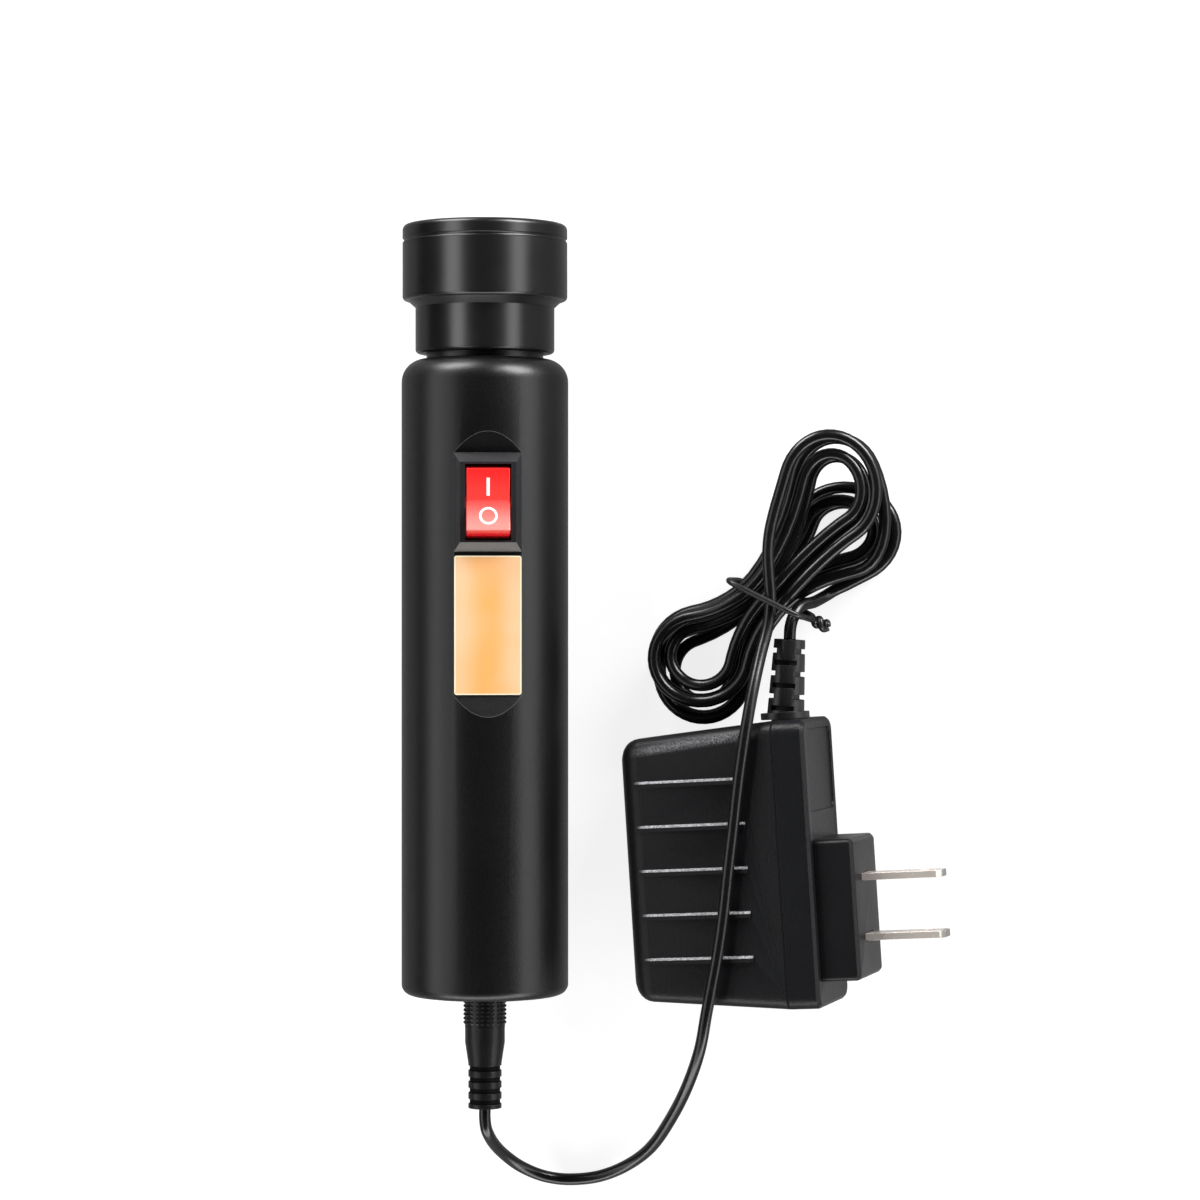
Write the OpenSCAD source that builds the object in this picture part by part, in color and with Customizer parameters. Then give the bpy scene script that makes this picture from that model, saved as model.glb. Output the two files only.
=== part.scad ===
// Candling lamp: a hand-held tube with a lit rubber cup, a rocker switch on its flat,
// and a low-voltage lead with a tied hank that ends in a wall adapter.
// Millimetres, Z up. The lamp lies on its round back along Y with its cup at +Y, and the
// lead and the adapter lie beside it on the same surface.

/* [Handle] */
// Outer diameter of the handle tube
body_d = 36; // [34:0.5:40]
// Length of the handle tube up to its shoulder
body_len = 137; // [130:1:160]
// Wall of the handle tube
body_wall = 2.6; // [2:0.1:3]
// Rounding of the tube's bottom edge
bottom_round = 2.2; // [0.5:0.1:2.5]
// Rounding of the tube's shoulder
shoulder_round = 5; // [2:0.5:6]
// Thickness of the wall under the shoulder
roof_t = 3; // [2:0.5:5]
// How far the neck that carries the cup steps in from the tube's side
neck_step = 5.4; // [4.8:0.1:6]
// Length of the neck above the shoulder
neck_len = 15; // [13:0.5:18]
// Wall of the neck
neck_wall = 2.2; // [1.6:0.1:2.6]
// Turn of the lamp about its own axis as it lies
lamp_roll = 18; // [0:1:30]

/* [Flat and switch] */
// Depth of the flat below the tube's outer surface
flat_depth = 1.5; // [1:0.1:2]
// Straight length of the flat
flat_len = 51.4; // [51:0.2:60]
// Height of the flat's middle above the tube's bottom
flat_mid = 90.5; // [86:0.1:96]
// Length of the sloped run-out at each end of the flat
flat_run = 4.5; // [3:0.1:6]
// Width of the switch bezel
bezel_w = 14.4; // [14:0.1:16]
// Length of the switch bezel
bezel_len = 21; // [20.6:0.1:24]
// Height of the switch bezel above the flat
bezel_h = 2; // [1.5:0.1:2.5]
// Width of the switch body behind the panel
switch_w = 12.6; // [12:0.1:13]
// Length of the switch body behind the panel
switch_len = 19.2; // [18.6:0.1:20]
// Depth of the switch body behind the panel
switch_depth = 11; // [10:0.5:13]
// Width of the rocker
rocker_w = 9.2; // [8:0.1:10]
// Radius of the rocker's curved end faces about its pivot
rocker_r = 7.5; // [7.2:0.1:7.8]
// Half length of the rocker's top at its raised edges
rocker_half = 6.6; // [6:0.1:6.8]
// Rocker travel from the on side to the off side in degrees
rocker_swing = 18; // [12:1:20]
// Thickness of the bare rating plate
plate_t = 0.4; // [0.2:0.1:0.8]
// Width of the rating plate
plate_w = 14.2; // [10:0.1:14.4]
// Length of the rating plate
plate_len = 29.4; // [20:0.1:30]

/* [Cup and light] */
// Length of the rubber cup
cup_len = 27.8; // [26:0.2:32]
// Wall of the cup's narrow part round the neck
cup_wall = 2.4; // [1.8:0.1:3]
// How much narrower the cup's wide part is than the handle
cup_step = 0.4; // [0:0.1:2]
// Height of the cup's narrow part
cup_low_h = 9.9; // [8:0.1:11]
// Wall of the cup's mouth
mouth_wall = 2.3; // [1.8:0.1:3]
// Depth of the straight wall inside the mouth
mouth_depth = 6; // [5:0.2:7]
// Gap between the shoulder and the cup where the neck shows
cup_gap = 1.2; // [0.6:0.1:2]
// Thickness of the lens rim
lens_t = 1.6; // [1:0.1:2]
// Rise of the lens dome above its rim
lens_rise = 1.4; // [0.5:0.1:1.8]
// Height of the heat sink
sink_h = 9; // [6:0.5:11]
// Thickness of the LED board
led_board_t = 1.6; // [1:0.1:2]

/* [Jack and plug] */
// Thickness of the base cap
cap_t = 3; // [2.5:0.1:4]
// Outer diameter of the jack's threaded body
jack_d = 7.9; // [7.4:0.1:9]
// Diameter of the jack's flange
jack_flange_d = 10.4; // [10:0.1:12]
// Depth of the jack's bore
jack_bore_depth = 10.3; // [10:0.1:12]
// Outer diameter of the plug barrel
barrel_d = 5.5; // [5:0.1:5.6]
// Bore of the plug barrel
barrel_bore_d = 2.6; // [2.1:0.1:2.6]
// Length of the plug barrel
barrel_len = 9.5; // [9:0.1:9.8]
// Diameter of the jack's centre pin
pin_d = 2; // [1.4:0.1:2]
// Diameter of the plug's grip
grip_d = 9.3; // [9:0.1:10]
// Length of the plug's grip
grip_len = 7.4; // [6:0.1:9]
// Length of the plug overmould from its front face to the cord
plug_len = 24.8; // [22:0.2:30]
// Number of grooves in the plug's bend relief
plug_grooves = 4; // [2:1:5]

/* [Cord] */
// Diameter of the cord
cord_d = 2.6; // [2:0.1:2.8]
// Sideways step between the turns of the hank
hank_step = 3.6; // [3.4:0.05:4]
// Height step between the layers of the hank
hank_pitch = 3.1; // [3.05:0.05:3.6]
// Radius of the hank's folds at the cup end
fold_up = 7.8; // [7:0.1:9]
// Radius of the hank's folds at the adapter end
fold_down = 8.9; // [8:0.1:10]
// Diameter of the wire tie round the hank
tie_d = 1.2; // [0.8:0.1:1.4]

/* [Adapter] */
// Height of the adapter along its blade face
case_h = 60.8; // [56:0.2:66]
// Thickness of the adapter
case_t = 25; // [24:0.5:28]
// Depth of the adapter's rear shell
rear_len = 35.2; // [30:0.2:38]
// Depth of the adapter's front shell
front_len = 6.9; // [6:0.1:9]
// Draft of the rear shell's sides in degrees
draft = 4.2; // [3:0.1:6]
// Wall of the adapter's shells
case_wall = 2.2; // [1.8:0.1:2.6]
// Corner rounding of the adapter's front
corner_r = 3; // [2:0.2:4]
// Rounding of the adapter's rear edges
rear_round = 5; // [3:0.2:6]
// Height of the raised block that carries the blades
block_h = 29.8; // [26:0.2:32]
// Width of the blade block
block_w = 20; // [16:0.2:21]
// How far the blade block stands out
block_out = 8.5; // [6:0.1:10]
// Distance from the middle of the adapter down to the middle of the blades
blade_drop = 9.95; // [8:0.05:12]
// Distance between the two blades
blade_pitch = 12.7; // [12.7:0.1:12.8]
// Width of a blade
blade_w = 6.35; // [6.3:0.05:6.45]
// Thickness of a blade
blade_t = 1.5; // [1.4:0.05:1.6]
// Length of a blade outside the block
blade_len = 17; // [16:0.1:18]
// Length of the adapter's strain relief outside the case
relief_len = 17; // [14:0.5:22]
// Diameter of the strain relief
relief_d = 8; // [7:0.1:9]
// Lean of the strain relief towards the blade face in degrees
relief_lean = 7; // [0:1:10]

/* [Hidden] */

$fn = 96;
// Gap between pieces that are pressed or slipped together
fit = 0.1;
// Gap between pieces that move past each other
run_gap = 0.3;
// Overlap that lets a cut pass cleanly through a face
over = 1;

// Handle and cup heights along the lamp's axis, from the tube's bottom
body_r = body_d / 2;
bore_r = body_r - body_wall;
neck_r = body_r - neck_step;
neck_bore_r = neck_r - neck_wall;
cup_r = body_r - cup_step / 2;
cup_low_r = neck_r + cup_wall;
mouth_r = cup_r - mouth_wall;
neck_top = body_len + neck_len;
cup_base = body_len + cup_gap;
lamp_len = cup_base + cup_len;
flat_r = body_r - flat_depth;
flat_low = flat_mid - flat_len / 2;
flat_high = flat_mid + flat_len / 2;

// Switch: its bezel ends level with the flat's upper end
switch_mid = flat_high - bezel_len / 2;
bezel_slope = 1.2;
well_w = rocker_w + 2 * run_gap;
well_len = 2 * (rocker_r + run_gap) + 0.6;
well_floor = 2.4;
pivot_drop = 0.5;
pivot_r = 1.1;
pivot_len = 0.8;
rocker_edge_h = sqrt(rocker_r * rocker_r - rocker_half * rocker_half);
rocker_dip = 1.3;
rocker_under = 4;
terminal_w = 4.8;
terminal_t = 0.8;
terminal_len = 6;
terminal_gap = 10.8;
terminal_tip_y = -flat_r + switch_depth + terminal_len;
plate_gap = 0.8;
plate_mid = switch_mid - bezel_len / 2 - plate_gap - plate_len / 2;

// Light: the heat sink stands in the neck with the board and its emitter on top
emitter_h = 2.4;
emitter_room = 0.5;
board_top = neck_top - emitter_h - emitter_room;
sink_top = board_top - led_board_t;
sink_r = neck_bore_r - fit;
wire_d = 1.2;
wire_hole_r = wire_d / 2 + fit;
wire_hole_at = sink_r - 2.2;
cup_seat = neck_top - cup_base + lens_t + fit;
cup_lip = 1;
cup_slope_low_r = neck_r - 1.8;

// Jack: its flange lies flush in the base cap
cap_inset = 0.3;
cap_skirt = 5;
cap_skirt_t = 1.6;
jack_flange_t = 1;
jack_len = jack_bore_depth + 2;
jack_bore_r = barrel_d / 2 + run_gap;
nut_af = 10;
nut_t = 2.4;
pin_tail = 4;
lug_w = 2.4;
lug_t = 0.5;
lug_len = 5;
lug_at = 1.1 - jack_d / 2;

// Plug: a knurled grip, a smooth cone and a grooved bend relief
plug_front = cap_inset - fit;
plug_collar_d = 8.6;
plug_collar_len = 3.2;
plug_relief_d = 7.2;
plug_cone_len = 4.6;
groove_w = 1.1;
groove_pitch = 2.4;
groove_core_r = 2.3;

// Adapter: it lies on its lower drafted side, so its front is tipped up by the draft
case_len = rear_len + front_len;
adapter_lean = 3.7;
adapter_z = case_t / 2 * cos(draft) - rear_len * sin(draft) + 0.02;
adapter_at = [31.9, -55.95, adapter_z];
front_edge = 0.8;
corner_steps = 6;
rear_steps = 7;
label_low = 10.85;
label_high = case_h / 2 - 2.2;
label_depth = 0.4;
label_margin = 2.6;
ledge_count = 5;
ledge_pitch = 9.4;
ledge_top = 18.25;
ledge_len = 24.6;
ledge_w = 1.2;
ledge_h = 0.6;
ledge_low = 0.15;
ledge_at = 3.6;
blade_inside = 3;
blade_hole_d = 3;
blade_hole_in = 4;
block_edge = 0.8;
relief_neck_d = 6;
relief_flange_d = 9;
relief_flange_t = 1.4;
relief_collar_d = 10.4;
relief_collar_t = 1.5;
relief_tip_d = 6.6;
relief_core = 4;
relief_slots = 3;
pcb_t = 1.6;
pcb_under = -case_t / 2 + case_wall + 4.4;
pcb_len = 24;
pcb_w = 44;
pcb_at = 8;
boss_d = 4;
boss_at = pcb_at + pcb_len / 2;
boss_foot = -case_t / 2 + (rear_len - boss_at + boss_d / 2) * tan(draft) + case_wall / 2;

// Cord: route points of the free stretches, chosen by hand on the photographed lay
lead_points = [
    [0.2, -113, 16.9], [0.9, -116.4, 13.2], [2.4, -119.5, 9], [5, -122.3, 5.5], [9.3, -124.5, 2.8],
    [14.7, -125.2, 1.4], [21.5, -124.2, 1.4], [28.2, -121.2, 2.8], [34.4, -116.4, 6.8],
    [40.2, -109, 12.8], [45, -101.2, 18.6], [48.6, -93, 23], [50.6, -84.6, 25.2], [52.8, -73.4, 25.4],
    [54.2, -64, 25.4], [55.2, -55, 25.5], [56.3, -46, 25.6], [57.4, -36.8, 25.9], [58.4, -29.9, 26.1],
    [59.2, -24, 25.4], [60, -17, 22.9], [60.9, -9.8, 19.4], [62, -3.4, 16.7], [62.4, 2, 15.8],
    [62, 7.5, 15.5], [61.7, 12.2, 15], [62, 16.8, 14.3],
];
tail_points = [
    [66.7, -1.3, 11.7], [68, 0.9, 9.2], [69.9, 1.6, 5.9], [71.7, 2.8, 3.1], [73.8, 4.2, 1.7],
];

// Hank: four layers of one and a half loops, drawn in at the waist
hank_at = [60, 3.5];
hank_axis = 47;
hank_rings = 24;
low_up = 28;
low_down = 31.6;
top_up = 34;
top_down = 28.7;
low_bend = [-0.145, -0.03];
top_bend = [0.19, 0.08];
bend_ease = 6;
fold_share = 2 / 3;
layer_turns = 3;
layers = 4;
fold_climb = 0.6;
run_climb = [5.43, 6.02];
run_move = [5.71, 5.965];
leave_climb = [11.9, 12.33];
first_turn = -0.3;
last_turn = 12.33;
waist_lift = 1.5;
lift_from = 4;
lift_to = 16;
tie_gap = 0.15;
tie_heading = -26;
tie_half_w = 9;
tie_power = 6;
tie_rings = 28;
tie_twist_turns = 1;
tie_twist_len = 3.4;
tie_twist_rings = 8;

// Smooth step from 0 to 1 between two values
function ease(from, to, x) =
    let (t = min(max((x - from) / (to - from), 0), 1)) t * t * (3 - 2 * t);
function unit(v) = v / norm(v);

// One quarter of a loop, from the tip of its fold to the waist, moved out from its middle line
function quarter_point(share, reach, fold, waist, out) =
    let (
        middle = reach - fold,
        hollow = (middle * middle + waist * waist - fold * fold) / (2 * (fold - waist)),
        lean = atan2(waist + hollow, middle),
        on_fold = (180 - lean) * share / fold_share,
        on_run = lean + (90 - lean) * (share - fold_share) / (1 - fold_share)
    )
    share < fold_share
        ? [middle + (fold + out) * cos(on_fold), (fold + out) * sin(on_fold)]
        : [(hollow - out) * cos(on_run), waist + hollow - (hollow - out) * sin(on_run)];

// How far the winding spirals out, from -1 inside to 1 outside, and on past its last layer
function spiral(turn) =
    let (cycle = turn / layer_turns)
    turn > layers * layer_turns
        ? 1 + 2 * (cycle - layers)
        : turn < 0 ? 1 - 2 * cycle : 2 * abs(cycle - 2 * floor(cycle / 2) - 1) - 1;

// A point of the hank, counted in half turns from its start
function hank_point(turn) =
    let (
        waist = 0.75 * hank_step,
        moved = ease(run_move[0], run_move[1], turn),
        quarter = (floor(2 * turn) + 4) % 4,
        part = 2 * turn - floor(2 * turn),
        share = quarter % 2 == 0 ? part : 1 - part,
        ahead = quarter == 0 || quarter == 3 ? 1 : -1,
        side = quarter < 2 ? 1 : -1,
        reach = ahead > 0
            ? low_up + (top_up - low_up) * moved
            : low_down + (top_down - low_down) * moved,
        flat_point = quarter_point(
            share, reach, ahead > 0 ? fold_up : fold_down, waist, waist * spiral(turn)
        ),
        along = ahead * flat_point[0],
        tip = ahead > 0 ? 0 : 1,
        bend = low_bend[tip] + (top_bend[tip] - low_bend[tip]) * moved,
        across = side * flat_point[1] + bend * (sqrt(along * along + bend_ease * bend_ease) - bend_ease),
        rise = ease(layer_turns - fold_climb, layer_turns + fold_climb, turn)
            + ease(run_climb[0], run_climb[1], turn)
            + ease(3 * layer_turns - fold_climb, 3 * layer_turns + fold_climb, turn)
            + ease(leave_climb[0], leave_climb[1], turn),
        lift = waist_lift * (1 - ease(lift_from, lift_to, abs(along)))
    )
    [
        hank_at[0] + along * cos(hank_axis) - across * sin(hank_axis),
        hank_at[1] + along * sin(hank_axis) + across * cos(hank_axis),
        cord_d / 2 + hank_pitch * rise + lift,
    ];

// The whole winding, with a straight end of one cord diameter at each side
hank_steps = floor((last_turn - first_turn) * hank_rings / 2);
hank_turns = [for (i = [0:hank_steps]) first_turn + i * (last_turn - first_turn) / hank_steps];
hank_loops = [for (t = hank_turns) hank_point(t)];
hank_first = unit(hank_point(first_turn + 0.01) - hank_point(first_turn));
hank_last = unit(hank_point(last_turn) - hank_point(last_turn - 0.01));
hank_start = hank_loops[0] - cord_d * hank_first;
hank_end = hank_loops[hank_steps] + cord_d * hank_last;
hank_path = concat([hank_start], hank_loops, [hank_end]);

// Least gap of the winding to itself, measured between points a good stretch apart
gap_points = [for (t = [first_turn:1 / hank_rings:last_turn]) hank_point(t)];
gap_apart = hank_rings / 2;
hank_gap = min([
    for (i = [0:len(gap_points) - 1]) for (j = [i + gap_apart:1:len(gap_points) - 1])
        norm(gap_points[i] - gap_points[j])
]) - cord_d;
echo(hank_least_gap = hank_gap);  // cord_hank

// Places where the cord's ends meet the plug and the strain relief
plug_end = [0, -lamp_len / 2 + plug_front - plug_len, body_r];
relief_foot = [rear_len, case_h / 2, 0];
relief_way = [sin(relief_lean), cos(relief_lean), 0];
function case_to_world(p) =
    let (
        tipped = [p[0] * cos(draft) - p[2] * sin(draft), p[1], p[0] * sin(draft) + p[2] * cos(draft)]
    )
    [
        tipped[0] * cos(adapter_lean) - tipped[1] * sin(adapter_lean),
        tipped[0] * sin(adapter_lean) + tipped[1] * cos(adapter_lean),
        tipped[2],
    ];
relief_top = adapter_at + case_to_world(relief_foot + relief_len * relief_way);
relief_dir = case_to_world(relief_way);
lead_route = concat(
    [plug_end, plug_end - [0, cord_d, 0]], lead_points,
    [for (k = [2:-1:0]) hank_end + k * cord_d * hank_last]
);
tail_route = concat(
    [relief_top, relief_top + cord_d * relief_dir], tail_points,
    [hank_start - cord_d * hank_first, hank_start]
);

// A smooth curve through points, with some rings between each pair
function through(p, i, t) =
    let (
        a = p[max(i - 1, 0)],
        b = p[i],
        c = p[i + 1],
        d = p[min(i + 2, len(p) - 1)]
    )
    0.5 * (2 * b + (c - a) * t + (2 * a - 5 * b + 4 * c - d) * t * t + (3 * b - a - 3 * c + d) * t * t * t);
function smooth_path(p, between) = concat(
    [for (i = [0:len(p) - 2]) for (k = [0:between - 1]) through(p, i, k / between)], [p[len(p) - 1]]
);

// A tube swept along a path, as one closed skin of triangles
function headings(p) = [
    for (i = [0:len(p) - 1]) unit(p[min(i + 1, len(p) - 1)] - p[max(i - 1, 0)])
];
function any_side(v) = unit(abs(v[2]) < 0.9 ? cross(v, [0, 0, 1]) : cross(v, [1, 0, 0]));
function square_to(v, heading) = unit(v - (v * heading) * heading);
function sides_along(h) = [
    for (i = 0, s = any_side(h[0]); i < len(h); i = i + 1, s = i < len(h) ? square_to(s, h[i]) : s) s
];
module tube(path, d, count) {
    heading = headings(path);
    side = sides_along(heading);
    skin([
        for (i = [0:len(path) - 1]) [
            for (k = [0:count - 1])
                path[i] + d / 2 * (cos(360 * k / count) * side[i]
                    + sin(360 * k / count) * cross(heading[i], side[i]))
        ]
    ]);
}

// One closed skin of triangles over rings that have as many points each
module skin(rings) {
    count = len(rings[0]);
    last = (len(rings) - 1) * count;
    walls = [
        for (i = [0:len(rings) - 2]) for (k = [0:count - 1])
            let (a = i * count + k, b = i * count + (k + 1) % count)
            each [[a, a + count, b], [b, a + count, b + count]]
    ];
    first_cap = [for (k = [1:count - 2]) [0, k, k + 1]];
    last_cap = [for (k = [1:count - 2]) [last, last + k + 1, last + k]];
    polyhedron(points = [for (r = rings) each r], faces = concat(walls, first_cap, last_cap));
}

// Half of a turned outline, a rectangle with rounded outer corners
module turned_outline(r, h, low_round, high_round) {
    translate([0, low_round]) square([r, h - low_round - high_round]);
    square([r - low_round, h / 2]);
    translate([0, h / 2]) square([r - high_round, h / 2]);
    translate([r - low_round, low_round]) circle(low_round);
    translate([r - high_round, h - high_round]) circle(high_round);
}

// Flat plate outline with rounded corners, centred
module rounded_rect(w, h, r) {
    square([w - 2 * r, h], center = true);
    square([w, h - 2 * r], center = true);
    for (x = [-1, 1], y = [-1, 1]) translate([x * (w / 2 - r), y * (h / 2 - r)]) circle(r);
}

// Lamp frame: its axis is Z, its flat faces -Y
module place_lamp() {
    translate([0, -lamp_len / 2, body_r]) rotate([0, lamp_roll, 0]) rotate([-90, 0, 0]) children();
}
// Frame on the flat at a height along the lamp: Z stands out of the flat, Y runs to the cup
module on_flat(height) {
    place_lamp() translate([0, -flat_r, height]) rotate([90, 0, 0]) children();
}
// Adapter frame: X runs to the blades, Y to the strain relief, Z to the ribbed side that faces up
module place_adapter() {
    translate(adapter_at) rotate([0, 0, adapter_lean]) rotate([0, -draft, 0]) children();
}

// Handle: a moulded tube with a neck, a flat and a panel hole for the switch
module flat_cut() {
    slope = flat_run / flat_depth;
    top = flat_depth + over;
    rotate([0, -90, 0]) linear_extrude(body_d, center = true) polygon([
        [flat_low, -flat_r], [flat_high, -flat_r],
        [flat_high + slope * top, -flat_r - top], [flat_low - slope * top, -flat_r - top],
    ]);
}
module handle_tube() {
    color("#151517") place_lamp() difference() {
        rotate_extrude() difference() {
            union() {
                turned_outline(body_r, body_len, bottom_round, shoulder_round);
                square([neck_r, neck_top]);
            }
            translate([0, -over]) square([bore_r, body_len - roof_t + over]);
            square([neck_bore_r, neck_top + over]);
        }
        flat_cut();
        translate([-switch_w / 2 - fit, -body_r, switch_mid - switch_len / 2 - fit])
            cube([switch_w + 2 * fit, body_r, switch_len + 2 * fit]);
    }
}

// Base cap: a pressed-in disc with a skirt and a sunk seat for the jack
module base_cap() {
    color("#1b1b1d") place_lamp() translate([0, 0, cap_inset]) rotate_extrude() difference() {
        union() {
            square([bore_r - fit, cap_t]);
            translate([bore_r - fit - cap_skirt_t, 0]) square([cap_skirt_t, cap_t + cap_skirt]);
        }
        translate([0, -over]) square([jack_d / 2 + fit, cap_t + 2 * over]);
        translate([0, -over]) square([jack_flange_d / 2 + fit, jack_flange_t + over]);
    }
}

// Jack: a threaded socket held in the cap by a nut, with a centre pin and a sleeve lug
module dc_jack() {
    color("#202022") place_lamp() translate([0, 0, cap_inset]) difference() {
        rotate_extrude() difference() {
            union() {
                square([jack_flange_d / 2, jack_flange_t]);
                square([jack_d / 2, jack_len]);
            }
            translate([0, -over]) square([jack_bore_r, jack_bore_depth + over]);
            square([pin_d / 2 + fit, jack_len + over]);
        }
        translate([lug_at - lug_t / 2 - fit, -lug_w / 2 - fit, jack_bore_depth + fit])
            cube([lug_t + 2 * fit, lug_w + 2 * fit, jack_len]);
    }
}
module jack_pin() {
    color("#c9c4b4") place_lamp() translate([0, 0, cap_inset]) rotate_extrude() {
        tip = pin_d / 4;
        translate([0, 1 + tip]) square([pin_d / 2, jack_len + pin_tail - 1 - tip]);
        translate([0, 1]) polygon([[0, 0], [tip, 0], [pin_d / 2, tip], [pin_d / 2, tip + 0.1], [0, tip + 0.1]]);
    }
}
module jack_nut() {
    color("#b9bbbe") place_lamp() translate([0, 0, cap_inset + cap_t]) difference() {
        cylinder(d = nut_af / cos(30), h = nut_t, $fn = 6);
        translate([0, 0, -over]) cylinder(d = jack_d + 2 * fit, h = nut_t + 2 * over);
    }
}
module jack_lug() {
    color("#c9c4b4") place_lamp()
        translate([lug_at - lug_t / 2, -lug_w / 2, cap_inset + jack_bore_depth + 2 * fit])
        cube([lug_t, lug_w, jack_len - jack_bore_depth + lug_len]);
}

// Cup: soft rubber pushed over the neck, with a beaded lip and a sloped seat inside
module eyecup() {
    cone_h = (cup_r - cup_low_r) * 0.85;
    edge = 0.9;
    lip_r = (cup_r - mouth_r) / 2;
    bead_h = 3;
    crease = 0.3;
    color("#121214") place_lamp() translate([0, 0, cup_base]) rotate_extrude() difference() {
        union() {
            turned_outline(cup_low_r, cup_low_h, edge, 0.01);
            translate([0, cup_low_h - 0.5]) square([cup_low_r, 0.5]);
            polygon([
                [0, cup_low_h], [cup_low_r, cup_low_h], [cup_r - 0.2, cup_low_h + cone_h],
                [0, cup_low_h + cone_h],
            ]);
            translate([0, cup_low_h + cone_h - edge])
                turned_outline(cup_r, cup_len - cup_low_h - cone_h + edge, edge, lip_r);
        }
        translate([0, -over]) square([neck_r + fit, cup_seat + over]);
        square([cup_slope_low_r, cup_len]);
        polygon([
            [0, cup_seat + cup_lip], [cup_slope_low_r, cup_seat + cup_lip],
            [mouth_r, cup_len - mouth_depth], [mouth_r, cup_len - lip_r],
            [mouth_r, cup_len + over], [0, cup_len + over],
        ]);
        translate([cup_r + 0.25, cup_len - bead_h - 0.4]) circle(crease + 0.25);
    }
}
module lens() {
    rim_r = neck_r - fit;
    dome_r = cup_slope_low_r - 4 * fit;
    ball_r = (dome_r * dome_r + lens_rise * lens_rise) / (2 * lens_rise);
    color("#e8eef2") place_lamp() translate([0, 0, neck_top]) union() {
        cylinder(r = rim_r, h = lens_t);
        intersection() {
            cylinder(r = dome_r, h = lens_t + lens_rise);
            translate([0, 0, lens_t + lens_rise - ball_r]) sphere(r = ball_r);
        }
    }
}

// Light engine: an aluminium slug in the neck, the board on it and the emitter on the board
module wire_holes(h) {
    for (x = [-1, 1]) translate([x * wire_hole_at, 0, -over]) cylinder(r = wire_hole_r, h = h + 2 * over);
}
module heat_sink() {
    color("#b4b7bb") place_lamp() translate([0, 0, sink_top - sink_h]) difference() {
        cylinder(r = sink_r, h = sink_h);
        wire_holes(sink_h);
        for (z = [2:2.4:sink_h - 3]) translate([0, 0, z]) difference() {
            cylinder(r = sink_r + over, h = 1);
            translate([0, 0, -over]) cylinder(r = sink_r - 1, h = 1 + 2 * over);
        }
    }
}
module led_board() {
    color("#f2f2ee") place_lamp() translate([0, 0, sink_top]) difference() {
        cylinder(r = sink_r - fit, h = led_board_t);
        wire_holes(led_board_t);
        for (a = [45:90:315]) rotate(a) translate([sink_r, 0, -over]) cylinder(r = 1.6, h = led_board_t + 2 * over);
    }
}
module led_emitter() {
    base = 5;
    base_h = 0.9;
    dome_r = emitter_h - base_h + 0.6;
    color("#fff3c0") place_lamp() translate([0, 0, board_top]) union() {
        translate([-base / 2, -base / 2, 0]) cube([base, base, base_h]);
        intersection() {
            translate([0, 0, base_h - 0.6]) sphere(r = dome_r);
            translate([-base, -base, 0]) cube([2 * base, 2 * base, emitter_h]);
        }
    }
}

// Switch: a snap-in housing with a sloped bezel, a rocker on pins and two blade terminals
module switch_housing() {
    top_w = bezel_w - 2 * bezel_slope;
    top_len = bezel_len - 4 * bezel_slope + 0.8;
    skin = 0.05;
    color("#1d1d1f") on_flat(switch_mid) difference() {
        union() {
            hull() {
                translate([-bezel_w / 2, -bezel_len / 2, 0]) cube([bezel_w, bezel_len, skin]);
                translate([-top_w / 2, -top_len / 2, bezel_h - skin]) cube([top_w, top_len, skin]);
            }
            translate([-switch_w / 2, -switch_len / 2, -switch_depth])
                cube([switch_w, switch_len, switch_depth]);
        }
        translate([-well_w / 2, -well_len / 2, well_floor - switch_depth])
            cube([well_w, well_len, switch_depth + bezel_h]);
        translate([0, 0, -pivot_drop]) rotate([0, 90, 0])
            cylinder(r = pivot_r + 2 * fit, h = rocker_w + 2 * pivot_len + 2 * fit, center = true);
        for (y = [-1, 1])
            translate([-terminal_w / 2 - fit, y * terminal_gap / 2 - terminal_t / 2 - fit, -switch_depth - over])
                cube([terminal_w + 2 * fit, terminal_t + 2 * fit, well_floor + over - 0.4]);
    }
}
module rocker() {
    side = rocker_r + over;
    middle = rocker_edge_h - rocker_dip;
    color("#e02020") on_flat(switch_mid) translate([0, 0, -pivot_drop]) rotate([-rocker_swing / 2, 0, 0]) {
        rotate([90, 0, 90]) linear_extrude(rocker_w, center = true) intersection() {
            circle(rocker_r);
            polygon([
                [-side, -rocker_under], [side, -rocker_under], [side, middle + rocker_dip * side / rocker_half],
                [0, middle], [-side, middle + rocker_dip * side / rocker_half],
            ]);
        }
        rotate([0, 90, 0]) cylinder(r = pivot_r, h = rocker_w + 2 * pivot_len, center = true);
    }
}
module switch_terminals() {
    root = well_floor - 0.5;
    color("#c8b98a") on_flat(switch_mid) for (y = [-1, 1])
        translate([0, y * terminal_gap / 2, -switch_depth - terminal_len]) difference() {
            translate([-terminal_w / 2, -terminal_t / 2, 0]) cube([terminal_w, terminal_t, terminal_len + root]);
            translate([0, 0, 2.5]) rotate([90, 0, 0]) cylinder(r = 0.8, h = 2 * terminal_t, center = true);
        }
}
module rating_plate() {
    color("#d9b36a") on_flat(plate_mid) linear_extrude(plate_t) rounded_rect(plate_w, plate_len, 0.5);
}

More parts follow.
